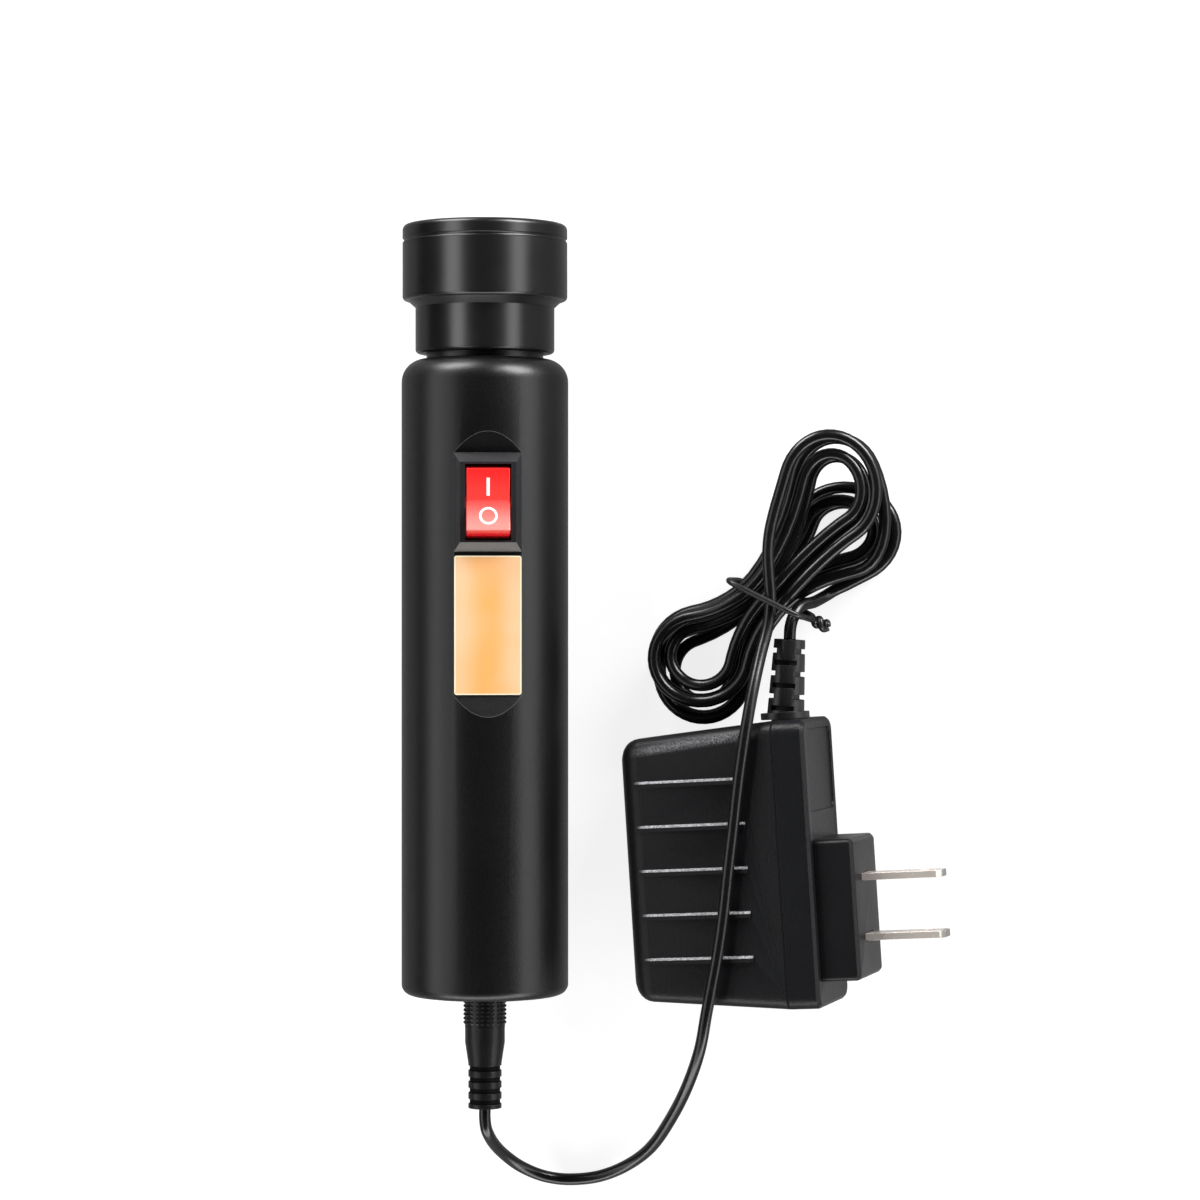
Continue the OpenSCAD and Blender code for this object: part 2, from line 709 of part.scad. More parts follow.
// Wiring: jack to switch, switch through a resistor to the board, and back to the jack
wire_end = 2;
wire_bend = 5;
wire_room = 3.4;
wire_run_r = bore_r - wire_room;
resistor_len = 6;
resistor_lead = 2;
resistor_low = switch_mid + terminal_gap / 2 + 2 * resistor_lead;
resistor_y = wire_run_r / 2;
function on_run(across, along, start, stop, share) =
    [across * wire_run_r, along * wire_run_r, start + share * (stop - start)];
module lamp_wire(points) {
    color("#b02020") place_lamp() tube(smooth_path(points, 2), wire_d, 6);
}
module resistor() {
    color("#c9a98a") place_lamp() translate([wire_hole_at, resistor_y, resistor_low]) union() {
        translate([0, 0, resistor_lead]) cylinder(r = 1.2, h = resistor_len);
        cylinder(r = 0.35, h = resistor_len + 2 * resistor_lead);
    }
}
module wire_supply() {
    start = cap_inset + jack_len + pin_tail;
    stop = switch_mid - terminal_gap / 2;
    lamp_wire([
        [0, 0, start + run_gap], [0, 0, start + wire_end], [0, 0, start + 2 * wire_end],
        on_run(0.12, 0.25, start, stop, 0.16),
        on_run(0.25, 0.58, start, stop, 0.42), on_run(0.17, 0.67, start, stop, 0.76),
        on_run(0, 0.58, start, stop, 0.94), [0, terminal_tip_y + 1.5 * wire_end, stop - wire_end / 4],
        [0, terminal_tip_y + fit, stop],
    ]);
}
module wire_switched() {
    start = switch_mid + terminal_gap / 2;
    lamp_wire([
        [0, terminal_tip_y + fit, start], [wire_d / 2, terminal_tip_y + wire_end, start],
        [wire_hole_at / 3, resistor_y - wire_end / 2, start + wire_d / 2],
        [wire_hole_at, resistor_y, resistor_low - wire_end], [wire_hole_at, resistor_y, resistor_low - run_gap],
    ]);
}
module wire_led() {
    start = resistor_low + resistor_len + 2 * resistor_lead + fit;
    stop = sink_top - sink_h;
    lamp_wire([
        [wire_hole_at, resistor_y, start], [wire_hole_at, resistor_y, start + wire_end],
        [wire_hole_at, resistor_y / 4, stop - wire_bend], [wire_hole_at, 0, stop - wire_end],
        [wire_hole_at, 0, sink_top - wire_end], [wire_hole_at, 0, board_top + wire_d / 4],
    ]);
}
module wire_return() {
    start = cap_inset + jack_len + lug_len + 2 * fit;
    stop = sink_top - sink_h;
    lamp_wire([
        [lug_at, 0, start + run_gap], [lug_at, 0, start + wire_end], [lug_at, 0, start + 2 * wire_end],
        on_run(-0.4, 0.3, start, stop, 0.14),
        on_run(-0.58, 0.75, start, stop, 0.25), on_run(-0.75, 0.67, start, stop, 0.65),
        on_run(-0.75, 0.5, start, stop, 0.88), [-wire_hole_at, resistor_y / 4, stop - wire_bend],
        [-wire_hole_at, 0, stop - wire_end], [-wire_hole_at, 0, sink_top - wire_end],
        [-wire_hole_at, 0, board_top + wire_d / 4],
    ]);
}

// Plug: the barrel in its overmould, whose tail is grooved so that it bends
module plug_overmould() {
    collar_at = grip_len;
    cone_at = collar_at + plug_collar_len;
    relief_at = cone_at + plug_cone_len;
    color("#0f0f11") place_lamp() translate([0, 0, plug_front]) rotate([180, 0, 0]) rotate_extrude() difference() {
        union() {
            square([grip_d / 2, grip_len]);
            translate([0, collar_at]) square([plug_collar_d / 2, plug_collar_len]);
            polygon([
                [0, cone_at], [plug_collar_d / 2, cone_at], [plug_relief_d / 2, relief_at], [0, relief_at],
            ]);
            translate([0, relief_at]) square([plug_relief_d / 2, plug_len - relief_at]);
        }
        for (i = [0:plug_grooves - 1])
            translate([groove_core_r, relief_at + 0.4 + i * groove_pitch]) square([plug_relief_d, groove_w]);
    }
}
module plug_barrel() {
    color("#d5d6d8") place_lamp() translate([0, 0, plug_front]) difference() {
        cylinder(d = barrel_d, h = barrel_len);
        translate([0, 0, fit]) cylinder(d = barrel_bore_d, h = barrel_len);
    }
}

// Cord: the free lead, the tied hank and the short tail into the adapter
module cord_lead() {
    color("#101012") tube(smooth_path(lead_route, 2), cord_d, 8);
}
module cord_hank() {
    color("#101012") tube(hank_path, cord_d, 6);
}
module cord_tail() {
    color("#101012") tube(smooth_path(tail_route, 2), cord_d, 8);
}

// Tie: one length of covered wire, wrapped round the waist with its ends twisted together
function power_sign(v, e) = sign(v) * pow(abs(v), e);
tie_across = [cos(tie_heading), sin(tie_heading), 0];
tie_low = tie_d / 2 + 0.1;
tie_high = lead_points[len(lead_points) - 4][2] + cord_d / 2 + tie_d / 2 + tie_gap;
tie_mid = [hank_at[0] + 1.2, hank_at[1] - 1.2, (tie_low + tie_high) / 2];
tie_half_h = (tie_high - tie_low) / 2;
tie_open = 16;
tie_ring = [
    for (i = [0:tie_rings])
        let (a = tie_open / 2 + i * (360 - tie_open) / tie_rings)
        tie_mid + tie_half_w * power_sign(cos(a), 2 / tie_power) * tie_across
            + [0, 0, tie_half_h * power_sign(sin(a), 2 / tie_power)]
];
tie_twist_r = (tie_d + 0.5) / 2;
function tie_end(side) = [
    for (i = [1:tie_twist_rings])
        let (
            a = 90 * side + 360 * tie_twist_turns * (i - 1) / tie_twist_rings,
            out = tie_half_w + 1.4 + tie_twist_len * i / tie_twist_rings
        )
        tie_mid + out * tie_across + tie_twist_r * (sin(a) * [0, 0, 1] + cos(a) * cross([0, 0, 1], tie_across))
];
module hank_tie() {
    up = tie_end(1);
    down = tie_end(-1);
    reversed = [for (i = [len(up) - 1:-1:0]) up[i]];
    color("#1a1a1a") tube(concat(reversed, tie_ring, down), tie_d, 6);
}

// Strain relief: a collar on the case, then rings joined by cores cut from two sides in turn
module strain_relief() {
    ring_pitch = relief_len / (2 * relief_slots + 1);
    slot_h = 0.45 * ring_pitch;
    color("#121214") place_adapter() translate(relief_foot) rotate([-90, 0, 0]) union() {
        translate([0, 0, -case_wall - relief_flange_t - fit]) cylinder(d = relief_flange_d, h = relief_flange_t);
        translate([0, 0, -case_wall - 2 * fit]) cylinder(d = relief_neck_d, h = case_wall + 3 * fit);
        translate([0, 0, fit]) cylinder(d = relief_collar_d, h = relief_collar_t - fit);
        difference() {
            rotate([0, relief_lean, 0])
                cylinder(d1 = relief_d, d2 = relief_tip_d, h = relief_len);
            translate([0, 0, -case_h / 2 + fit]) cube([case_h, case_h, case_h], center = true);
            rotate([0, relief_lean, 0]) for (i = [1:2 * relief_slots]) translate([0, 0, i * ring_pitch])
                rotate(i % 2 == 0 ? 0 : 90) for (s = [-1, 1])
                    translate([s * (relief_core / 2 + relief_d / 2), 0, 0])
                        cube([relief_d, i % 2 == 0 ? 2 * relief_d : relief_core + 1, slot_h], center = true);
        }
    }
}

// Adapter shells: a drafted rear shell with rounded edges and a straight front shell
function case_ring(x, half_h, half_t, r) = [
    for (c = [0:3]) for (k = [0:corner_steps])
        let (
            a = 90 * c + 90 * k / corner_steps,
            y = c == 0 || c == 3 ? half_h - r : r - half_h,
            z = c < 2 ? half_t - r : r - half_t
        )
        [x, y + r * cos(a), z + r * sin(a)]
];
module drafted_block(inset, past) {
    r = max(rear_round - inset, 0.5);
    x = inset + r;
    drop = (rear_len - x) * tan(draft) + r / cos(draft);
    half_h = case_h / 2 - inset;
    half_t = case_t / 2 - inset;
    edge = corner_r - inset / 2;
    rear_rings = [
        for (i = [0:rear_steps])
            let (a = (90 - draft) * i / rear_steps, out = r * sin(a) - drop, share = i / rear_steps)
            case_ring(x - r * cos(a), half_h + out, half_t + out, edge * (0.5 + 0.4 * share))
    ];
    front_rings = [
        case_ring(rear_len, half_h, half_t, edge),
        if (past > 0) case_ring(rear_len + past, half_h, half_t, edge)
    ];
    skin(concat(rear_rings, front_rings));
}
module relief_hole() {
    translate(relief_foot) rotate([-90, 0, 0]) {
        translate([0, 0, -2 * case_wall]) cylinder(d = relief_neck_d + 2 * fit, h = 4 * case_wall);
        translate([0, 0, -case_wall - relief_flange_t - 2 * fit])
            cylinder(d = relief_flange_d + 2 * fit, h = relief_flange_t + 2 * fit);
    }
}
module ledges() {
    face_slope = draft;
    for (i = [0:ledge_count - 1])
        translate([rear_len, ledge_top - i * ledge_pitch, case_t / 2]) rotate([0, -face_slope, 0])
            translate([ledge_at - rear_len, 0, 0]) rotate([90, 0, 0])
                linear_extrude(ledge_w, center = true)
                    polygon([[0, -0.5], [ledge_len, -0.5], [ledge_len, ledge_h], [ledge_len - 1, ledge_h], [0, ledge_low]]);
}
module adapter_rear_shell() {
    color("#17181a") place_adapter() difference() {
        union() {
            difference() {
                drafted_block(0, 0);
                drafted_block(case_wall, over);
            }
            for (y = [-1, 1])
                translate([boss_at, y * (pcb_w / 2 - boss_d), boss_foot]) cylinder(d = boss_d, h = pcb_under - boss_foot);
            ledges();
        }
        relief_hole();
    }
}
module adapter_front_shell() {
    color("#17181a") place_adapter() difference() {
        translate([rear_len, 0, 0]) rotate([90, 0, 90]) hull() {
            linear_extrude(front_len - front_edge) rounded_rect(case_h, case_t, corner_r, $fn = 32);
            linear_extrude(front_len) rounded_rect(
                case_h - 2 * front_edge, case_t - 2 * front_edge, corner_r - front_edge, $fn = 32
            );
        }
        translate([rear_len - over, 0, 0]) rotate([90, 0, 90])
            linear_extrude(front_len - case_wall + over)
                rounded_rect(case_h - 2 * case_wall, case_t - 2 * case_wall, corner_r - case_wall / 2);
        translate([case_len - label_depth, (label_low + label_high) / 2, 0]) rotate([90, 0, 90])
            linear_extrude(2 * over)
                rounded_rect(label_high - label_low, case_t - 2 * label_margin, 1.5);
        relief_hole();
        blade_slots(case_len - case_wall - over, case_wall + 2 * over);
    }
}
module blade_slots(from, depth) {
    for (s = [-1, 1])
        translate([from, -blade_drop + s * blade_pitch / 2 - blade_t / 2 - fit, -blade_w / 2 - fit])
            cube([depth, blade_t + 2 * fit, blade_w + 2 * fit]);
}

// Blade block and blades: the standing block on the blade face and two flat blades through it
module blade_block() {
    color("#141517") place_adapter() difference() {
        translate([case_len, -blade_drop, 0]) rotate([90, 0, 90]) hull() {
            linear_extrude(block_out - block_edge) rounded_rect(block_h, block_w, 1.2, $fn = 32);
            linear_extrude(block_out)
                rounded_rect(block_h - 2 * block_edge, block_w - 2 * block_edge, 0.6, $fn = 32);
        }
        blade_slots(case_len - over, block_out + 2 * over);
    }
}
module blades() {
    from = case_len - case_wall - blade_inside;
    reach = case_len + block_out + blade_len - from;
    nose = 1.2;
    color("#c9ccd0") place_adapter() for (s = [-1, 1])
        translate([from, -blade_drop + s * blade_pitch / 2, 0]) rotate([90, 0, 0])
            linear_extrude(blade_t, center = true) difference() {
                polygon([
                    [0, -blade_w / 2], [reach - nose, -blade_w / 2], [reach, -blade_w / 2 + nose],
                    [reach, blade_w / 2 - nose], [reach - nose, blade_w / 2], [0, blade_w / 2],
                ]);
                translate([reach - blade_hole_in, 0]) circle(d = blade_hole_d);
            }
}

// Inside the adapter: the converter board with its transformer and two capacitors
module adapter_board() {
    color("#2f6b3a") place_adapter()
        translate([pcb_at, -pcb_w / 2, pcb_under]) cube([pcb_len, pcb_w, pcb_t]);
}
module transformer() {
    core = [13, 14, 9];
    color("#3a3a3c") place_adapter() translate([pcb_at + 5, -core[1] / 2, pcb_under + pcb_t]) {
        cube(core);
        translate([core[0] / 2, core[1] / 2, core[2] / 2]) rotate([90, 0, 0])
            cylinder(d = 8, h = core[1] + 4, center = true);
    }
}
module capacitors() {
    color("#24427a") place_adapter() translate([pcb_at + 12, 0, pcb_under + pcb_t]) {
        translate([0, 16, 0]) cylinder(d = 8, h = 10);
        translate([0, -15.5, 0]) cylinder(d = 6.3, h = 10);
    }
}

handle_tube();
base_cap();
dc_jack();
jack_pin();
jack_nut();
jack_lug();
eyecup();
lens();
led_board();
led_emitter();
heat_sink();
switch_housing();
rocker();
switch_terminals();
rating_plate();
resistor();
wire_supply();
wire_switched();
wire_led();
wire_return();
plug_overmould();
plug_barrel();
cord_lead();
cord_hank();
cord_tail();
hank_tie();
strain_relief();
adapter_rear_shell();
adapter_front_shell();
blade_block();
blades();
adapter_board();
transformer();
capacitors();
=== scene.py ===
import math

import bmesh
import bpy
from mathutils import Matrix, Vector


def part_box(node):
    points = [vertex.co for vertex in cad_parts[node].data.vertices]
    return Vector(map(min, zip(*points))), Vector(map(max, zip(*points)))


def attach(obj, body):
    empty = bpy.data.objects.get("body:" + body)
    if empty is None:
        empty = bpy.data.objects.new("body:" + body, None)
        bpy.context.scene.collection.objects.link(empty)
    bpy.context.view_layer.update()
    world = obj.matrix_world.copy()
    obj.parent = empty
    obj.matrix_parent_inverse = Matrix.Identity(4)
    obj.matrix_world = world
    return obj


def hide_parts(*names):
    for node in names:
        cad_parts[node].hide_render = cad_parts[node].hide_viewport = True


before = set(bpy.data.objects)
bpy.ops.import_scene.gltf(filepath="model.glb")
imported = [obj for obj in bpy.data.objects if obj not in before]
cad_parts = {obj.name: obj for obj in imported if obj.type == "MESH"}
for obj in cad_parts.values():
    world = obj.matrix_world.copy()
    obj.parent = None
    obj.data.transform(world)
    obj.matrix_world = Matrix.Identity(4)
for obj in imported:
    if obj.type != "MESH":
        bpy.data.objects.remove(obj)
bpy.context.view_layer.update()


# Camera and studio: the lamp lies on a white sheet lit from below, seen from above and a little
# from the adapter's side through a long lens. Long soft boxes put one bright band on each flank
# of the tube, a second pair does so on the cup, and low boxes light the two ends.
class Reading:
    """A value in the node tree of a material or a shape. Sums on it add Math nodes to that tree."""

    def __init__(self, tree, socket=None):
        self.tree = tree
        self.socket = socket

    def node(self, kind, out=0, settings=None, sockets=None):
        """Add one node with its settings, fill or link its sockets, and give one of its outputs."""
        made = self.tree.nodes.new(kind)
        for name, value in (settings or {}).items():
            setattr(made, name, value)
        for name, value in (sockets or {}).items():
            if isinstance(value, Reading):
                self.tree.links.new(value.socket, made.inputs[name])
            else:
                made.inputs[name].default_value = value
        return None if out is None else Reading(self.tree, made.outputs[out])

    def math(self, operation, *values):
        return self.node("ShaderNodeMath", 0, {"operation": operation}, dict(enumerate(values)))

    def __add__(self, other):
        return self.math("ADD", self, other)

    def __radd__(self, other):
        return self.math("ADD", other, self)

    def __sub__(self, other):
        return self.math("SUBTRACT", self, other)

    def __rsub__(self, other):
        return self.math("SUBTRACT", other, self)

    def __mul__(self, other):
        return self.math("MULTIPLY", self, other)

    def __rmul__(self, other):
        return self.math("MULTIPLY", other, self)

    def __abs__(self):
        return self.math("ABSOLUTE", self)

    def ramp(self, low, high):
        """Smooth step from 0 at low to 1 at high."""
        limits = {"Value": self, "From Min": low, "From Max": high}
        return self.node("ShaderNodeMapRange", 0, {"interpolation_type": "SMOOTHSTEP"}, limits)

    def band(self, rise_from, rise_to, fall_from, fall_to):
        """1 between two soft limits, 0 outside them."""
        return self.ramp(rise_from, rise_to) * (1 - self.ramp(fall_from, fall_to))

    def mix(self, first, second):
        """Colour that goes from first to second as this value goes from 0 to 1."""
        return self.node("ShaderNodeMix", 2, {"data_type": "RGBA"}, {0: self, 6: first, 7: second})

    def axis(self, index):
        """One coordinate of a place."""
        return self.node("ShaderNodeSeparateXYZ", index, None, {0: self})

    def along(self, direction):
        """How far a place lies along a direction of length 1, in metres."""
        vectors = {0: self, 1: tuple(direction)}
        return self.node("ShaderNodeVectorMath", 1, {"operation": "DOT_PRODUCT"}, vectors)

    def noise(self, scale, detail):
        """Noise at this place, from 0 to 1, with features of about 1/scale metres."""
        return self.node("ShaderNodeTexNoise", 0, None, {"Vector": self, "Scale": scale, "Detail": detail})

    def bump(self, strength, distance):
        """Surface normal for this height."""
        heights = {"Height": self, "Strength": strength, "Distance": distance}
        return self.node("ShaderNodeBump", 0, None, heights)


def surface(name, constants):
    """A new material whose main shader has these constant values, that shader, and the place."""
    material = bpy.data.materials.new(name)
    material.use_nodes = True
    shader = material.node_tree.nodes["Principled BSDF"]
    for socket, value in constants.items():
        shader.inputs[socket].default_value = value
    place = Reading(material.node_tree).node("ShaderNodeTexCoord", 3)
    return material, shader, place


def feed(shader, socket, value):
    """Link a value to one of the shader's sockets."""
    value.tree.links.new(value.socket, shader.inputs[socket])


tilt = math.radians(14)
toward_camera = Vector((math.sin(tilt), 0, math.cos(tilt)))
picture_right = Vector((math.cos(tilt), 0, -math.sin(tilt)))
aim = Vector((0.02562, 0.00204, 0.018))
camera_distance = 0.75
lens = bpy.data.cameras.new("camera")
lens.lens = 104.99
lens.sensor_width = 36
lens.clip_start = 0.01
camera = bpy.data.objects.new("camera", lens)
camera.matrix_world = Matrix((picture_right, Vector((0, 1, 0)), toward_camera)).transposed().to_4x4()
camera.location = aim + camera_distance * toward_camera
bpy.context.scene.collection.objects.link(camera)
bpy.context.scene.camera = camera
bpy.context.scene.view_settings.view_transform = "Standard"

sky = bpy.data.worlds.new("studio")
sky.use_nodes = True
sky.node_tree.nodes["Background"].inputs["Color"].default_value = (1, 1, 1, 1)
sky.node_tree.nodes["Background"].inputs["Strength"].default_value = 0.02
bpy.context.scene.world = sky

# The bands on the cup and on the tube lie at different places, so each has boxes of its own.
box_distance = 0.7
cup_only = bpy.data.collections.new("cup_only")
cup_only.objects.link(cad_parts["eyecup"])
all_but_cup = bpy.data.collections.new("all_but_cup")
all_but_cup.objects.link(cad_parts["eyecup"])
all_but_cup.collection_objects[0].light_linking.link_state = "EXCLUDE"
for name, lean, turn, wide, tall, power, falls_on in (
    ("cup_left_box", -31, 0, 0.26, 2.4, 9.0, cup_only),
    ("cup_right_box", 62, 0, 0.26, 2.4, 8.0, cup_only),
    ("left_box", -35, 0, 0.1, 2.4, 1.6, all_but_cup),
    ("left_fill", -56, 0, 0.26, 2.4, 3.8, all_but_cup),
    ("right_box", 71, 0, 0.1, 2.4, 3.0, all_but_cup),
    ("right_fill", 86, 0, 0.16, 2.4, 2.6, all_but_cup),
    ("far_left_box", -24, -70, 0.35, 0.3, 4.6, None),
    ("far_right_box", 40, -68, 0.4, 0.3, 7.0, None),
    ("near_box", 8, 74, 1.2, 0.28, 5.4, None),
):
    light = bpy.data.lights.new(name, "AREA")
    light.shape = "RECTANGLE"
    light.size = wide
    light.size_y = tall
    light.energy = power
    softbox = bpy.data.objects.new(name, light)
    softbox.light_linking.receiver_collection = falls_on
    away = Matrix.Rotation(math.radians(turn), 3, "X") @ Matrix.Rotation(math.radians(lean), 3, "Y")
    softbox.matrix_world = away.to_4x4()
    softbox.location = aim + box_distance * (away @ Vector((0, 0, 1)))
    bpy.context.scene.collection.objects.link(softbox)

# The sheet is round and flat, and rises all round in a smooth bend.
sheet_r = 1.2
bend_r = 0.5
sheet_top = 2.6
sheet_gap = 0.0002
bend_steps = 6
round_steps = 72
sheet_lines = [(sheet_r, 0)]
for k in range(1, bend_steps + 1):
    bend = math.radians(90 * k / bend_steps)
    sheet_lines.append((sheet_r + bend_r * math.sin(bend), bend_r - bend_r * math.cos(bend)))
sheet_lines.append((sheet_r + bend_r, sheet_top))
round_sheet = bmesh.new()
sheet_rings = []
for reach, height in sheet_lines:
    sheet_ring = []
    for k in range(round_steps):
        angle = 2 * math.pi * k / round_steps
        corner = (reach * math.cos(angle), reach * math.sin(angle), height)
        sheet_ring.append(round_sheet.verts.new(corner))
    sheet_rings.append(sheet_ring)
round_sheet.faces.new(sheet_rings[0])
for low, high in zip(sheet_rings, sheet_rings[1:]):
    for k in range(round_steps):
        j = (k + 1) % round_steps
        round_sheet.faces.new((low[k], low[j], high[j], high[k])).smooth = True
sheet = bpy.data.meshes.new("floor")
round_sheet.to_mesh(sheet)
round_sheet.free()
floor = bpy.data.objects.new("floor", sheet)
floor.location = (0, 0, -sheet_gap)
floor.visible_diffuse = False
floor.visible_glossy = False
bpy.context.scene.collection.objects.link(floor)
paper, shader, place = surface("floor_paper", {"Roughness": 0.8, "Emission Strength": 0.84})
fleck = place.noise(60, 3)
feed(shader, "Base Color", fleck.mix((0.3, 0.3, 0.3, 1), (0.32, 0.32, 0.32, 1)))
feed(shader, "Emission Color", fleck.mix((0.98, 0.98, 0.98, 1), (1, 1, 1, 1)))
paper.cycles.emission_sampling = "NONE"
sheet.materials.append(paper)

# The camera sees the sheet. Reflections see this dimmer card, which keeps the lower edges dark and
# is brighter close under the lamp and beside the blades.
card_half = 1
card_corners = [(card_half * x, card_half * y, 0) for x, y in ((-1, -1), (1, -1), (1, 1), (-1, 1))]
card_mesh = bpy.data.meshes.new("floor_card")
card_mesh.from_pydata(card_corners, [], [(0, 1, 2, 3)])
card = bpy.data.objects.new("floor_card", card_mesh)
card.location = (0, 0, -2 * sheet_gap)
card.visible_camera = False
card.visible_diffuse = False
card.visible_shadow = False
bpy.context.scene.collection.objects.link(card)
grey, shader, place = surface("card_grey", {"Roughness": 1.0, "Emission Strength": 0.5})
blades_y = -0.062
from_lamp = abs(place.axis(0)).ramp(0.022, 0.05)
from_blades = abs(place.axis(1) - blades_y).ramp(0.045, 0.07)
by_blades = place.axis(0).ramp(0.07, 0.08) * (1 - from_blades)
beside = from_lamp.mix((0.52, 0.52, 0.52, 1), (0.21, 0.21, 0.21, 1))
feed(shader, "Emission Color", by_blades.mix(beside, (1, 1, 1, 1)))
card_mesh.materials.append(grey)


# Cord: one length of round two-core lead in a glossy black vinyl jacket. It leaves the plug,
# drops to the floor, passes over the adapter, and is wound into a tied hank whose inner end
# goes back into the adapter's strain relief.
cord_d = 0.0026
hank_middle = (0.06, 0.0035)
hank_axis = math.radians(47)
strand_step = 0.0036
layer_height = 0.0031
waist = 0.75 * strand_step
waist_lift = 0.0015
lift_reach = (0.004, 0.016)
bend_ease = 0.006
fold_share = 2 / 3
layers = 4
layer_turns = 3
first_turn = -0.3
last_turn = 12.33
layer_climbs = ((2.4, 3.6), (5.43, 6.02), (8.4, 9.6), (11.9, last_turn))
strands_move = (5.71, 5.965)
cup_end = {"fold": 0.0078, "low": 0.028, "top": 0.034, "low_bend": -0.145, "top_bend": 0.19}
adapter_end = {"fold": 0.0089, "low": 0.0316, "top": 0.0287, "low_bend": -0.03, "top_bend": 0.08}


def ease(low, high, x):
    """Smooth step from 0 at low to 1 at high."""
    t = min(max((x - low) / (high - low), 0), 1)
    return t * t * (3 - 2 * t)


def hank_point(turn):
    """Place on the hank after so many half turns, in metres."""
    around = turn / layer_turns
    if turn > layers * layer_turns:
        spread = 1 + 2 * (around - layers)
    elif turn < 0:
        spread = 1 - 2 * around
    else:
        spread = 2 * abs(around - 2 * math.floor(around / 2) - 1) - 1
    moved = ease(*strands_move, turn)
    quarter = (math.floor(2 * turn) + 4) % 4
    share = 2 * turn - math.floor(2 * turn)
    if quarter % 2 == 1:
        share = 1 - share
    ahead = 1 if quarter in (0, 3) else -1
    side = 1 if quarter < 2 else -1
    end = cup_end if ahead > 0 else adapter_end
    fold = end["fold"]
    middle = end["low"] + (end["top"] - end["low"]) * moved - fold
    hollow = (middle ** 2 + waist ** 2 - fold ** 2) / (2 * (fold - waist))
    lean = math.atan2(waist + hollow, middle)
    out = waist * spread
    if share < fold_share:
        angle = (math.pi - lean) * share / fold_share
        along = middle + (fold + out) * math.cos(angle)
        across = (fold + out) * math.sin(angle)
    else:
        angle = lean + (math.pi / 2 - lean) * (share - fold_share) / (1 - fold_share)
        along = (hollow - out) * math.cos(angle)
        across = waist + hollow - (hollow - out) * math.sin(angle)
    along = ahead * along
    bend = end["low_bend"] + (end["top_bend"] - end["low_bend"]) * moved
    across = side * across + bend * (math.sqrt(along ** 2 + bend_ease ** 2) - bend_ease)
    layer = sum(ease(start, stop, turn) for start, stop in layer_climbs)
    lift = waist_lift * (1 - ease(*lift_reach, abs(along)))
    return Vector((
        hank_middle[0] + along * math.cos(hank_axis) - across * math.sin(hank_axis),
        hank_middle[1] + along * math.sin(hank_axis) + across * math.cos(hank_axis),
        cord_d / 2 + layer_height * layer + lift,
    ))


def smooth_path(points, between):
    """A smooth curve through the points, with some steps between each pair."""
    curve = []
    last = len(points) - 1
    for i in range(last):
        a = points[max(i - 1, 0)]
        b = points[i]
        c = points[i + 1]
        d = points[min(i + 2, last)]
        for k in range(between):
            t = k / between
            curve.append(0.5 * (
                2 * b + (c - a) * t
                + (2 * a - 5 * b + 4 * c - d) * t ** 2
                + (3 * b - a - 3 * c + d) * t ** 3
            ))
    curve.append(points[last])
    return curve


def sweep(name, path, profile):
    """A closed mesh swept along a path, its profile given as (side, up) pairs in metres."""
    count = len(profile)
    side = None
    mesh = bmesh.new()
    rings = []
    for i, point in enumerate(path):
        heading = (path[min(i + 1, len(path) - 1)] - path[max(i - 1, 0)]).normalized()
        if side is None:
            side = heading.cross(Vector((0, 0, 1))).normalized()
        side = (side - heading * side.dot(heading)).normalized()
        up = side.cross(heading)
        rings.append([mesh.verts.new(point + x * side + y * up) for x, y in profile])
    for low, high in zip(rings, rings[1:]):
        for k in range(count):
            face = mesh.faces.new((low[k], low[(k + 1) % count], high[(k + 1) % count], high[k]))
            face.smooth = True
    mesh.faces.new(rings[0])
    mesh.faces.new(rings[-1])
    bmesh.ops.recalc_face_normals(mesh, faces=mesh.faces)
    data = bpy.data.meshes.new(name)
    mesh.to_mesh(data)
    mesh.free()
    swept = bpy.data.objects.new(name, data)
    bpy.context.scene.collection.objects.link(swept)
    return swept


def oval(half_wide, half_high):
    """An oval profile of twelve corners, as (side, up) pairs in metres."""
    angles = [k * math.pi / 6 for k in range(12)]
    return [(half_wide * math.cos(a), half_high * math.sin(a)) for a in angles]


hank_steps = 500
hank_turns = [first_turn + i * (last_turn - first_turn) / hank_steps for i in range(hank_steps + 1)]
hank_loops = [hank_point(t) for t in hank_turns]
nudge = 0.01
hank_first = (hank_point(first_turn + nudge) - hank_point(first_turn)).normalized()
hank_last = (hank_point(last_turn) - hank_point(last_turn - nudge)).normalized()
hank_start = hank_loops[0] - cord_d * hank_first
hank_end = hank_loops[-1] + cord_d * hank_last

# The points of the two free stretches are listed one by one.
plug_end = Vector((0, -0.1076, 0.018))
lead_points = [Vector(p) for p in (
    (0.0002, -0.113, 0.0169), (0.0009, -0.1164, 0.0132), (0.0024, -0.1195, 0.009),
    (0.005, -0.1223, 0.0055), (0.0093, -0.1245, 0.0028), (0.0147, -0.1252, 0.0014),
    (0.0215, -0.1242, 0.0014), (0.0282, -0.1212, 0.0028), (0.0344, -0.1164, 0.0068),
    (0.0402, -0.109, 0.0128), (0.045, -0.1012, 0.0186), (0.0486, -0.093, 0.023),
    (0.0506, -0.0846, 0.0252), (0.0528, -0.0734, 0.0254), (0.0542, -0.064, 0.0254),
    (0.0552, -0.055, 0.0255), (0.0563, -0.046, 0.0256), (0.0574, -0.0368, 0.0259),
    (0.0584, -0.0299, 0.0261), (0.0592, -0.024, 0.0254), (0.06, -0.017, 0.0229),
    (0.0609, -0.0098, 0.0194), (0.062, -0.0034, 0.0167), (0.0624, 0.002, 0.0158),
    (0.062, 0.0075, 0.0155), (0.0617, 0.0122, 0.015), (0.062, 0.0168, 0.0143),
)]
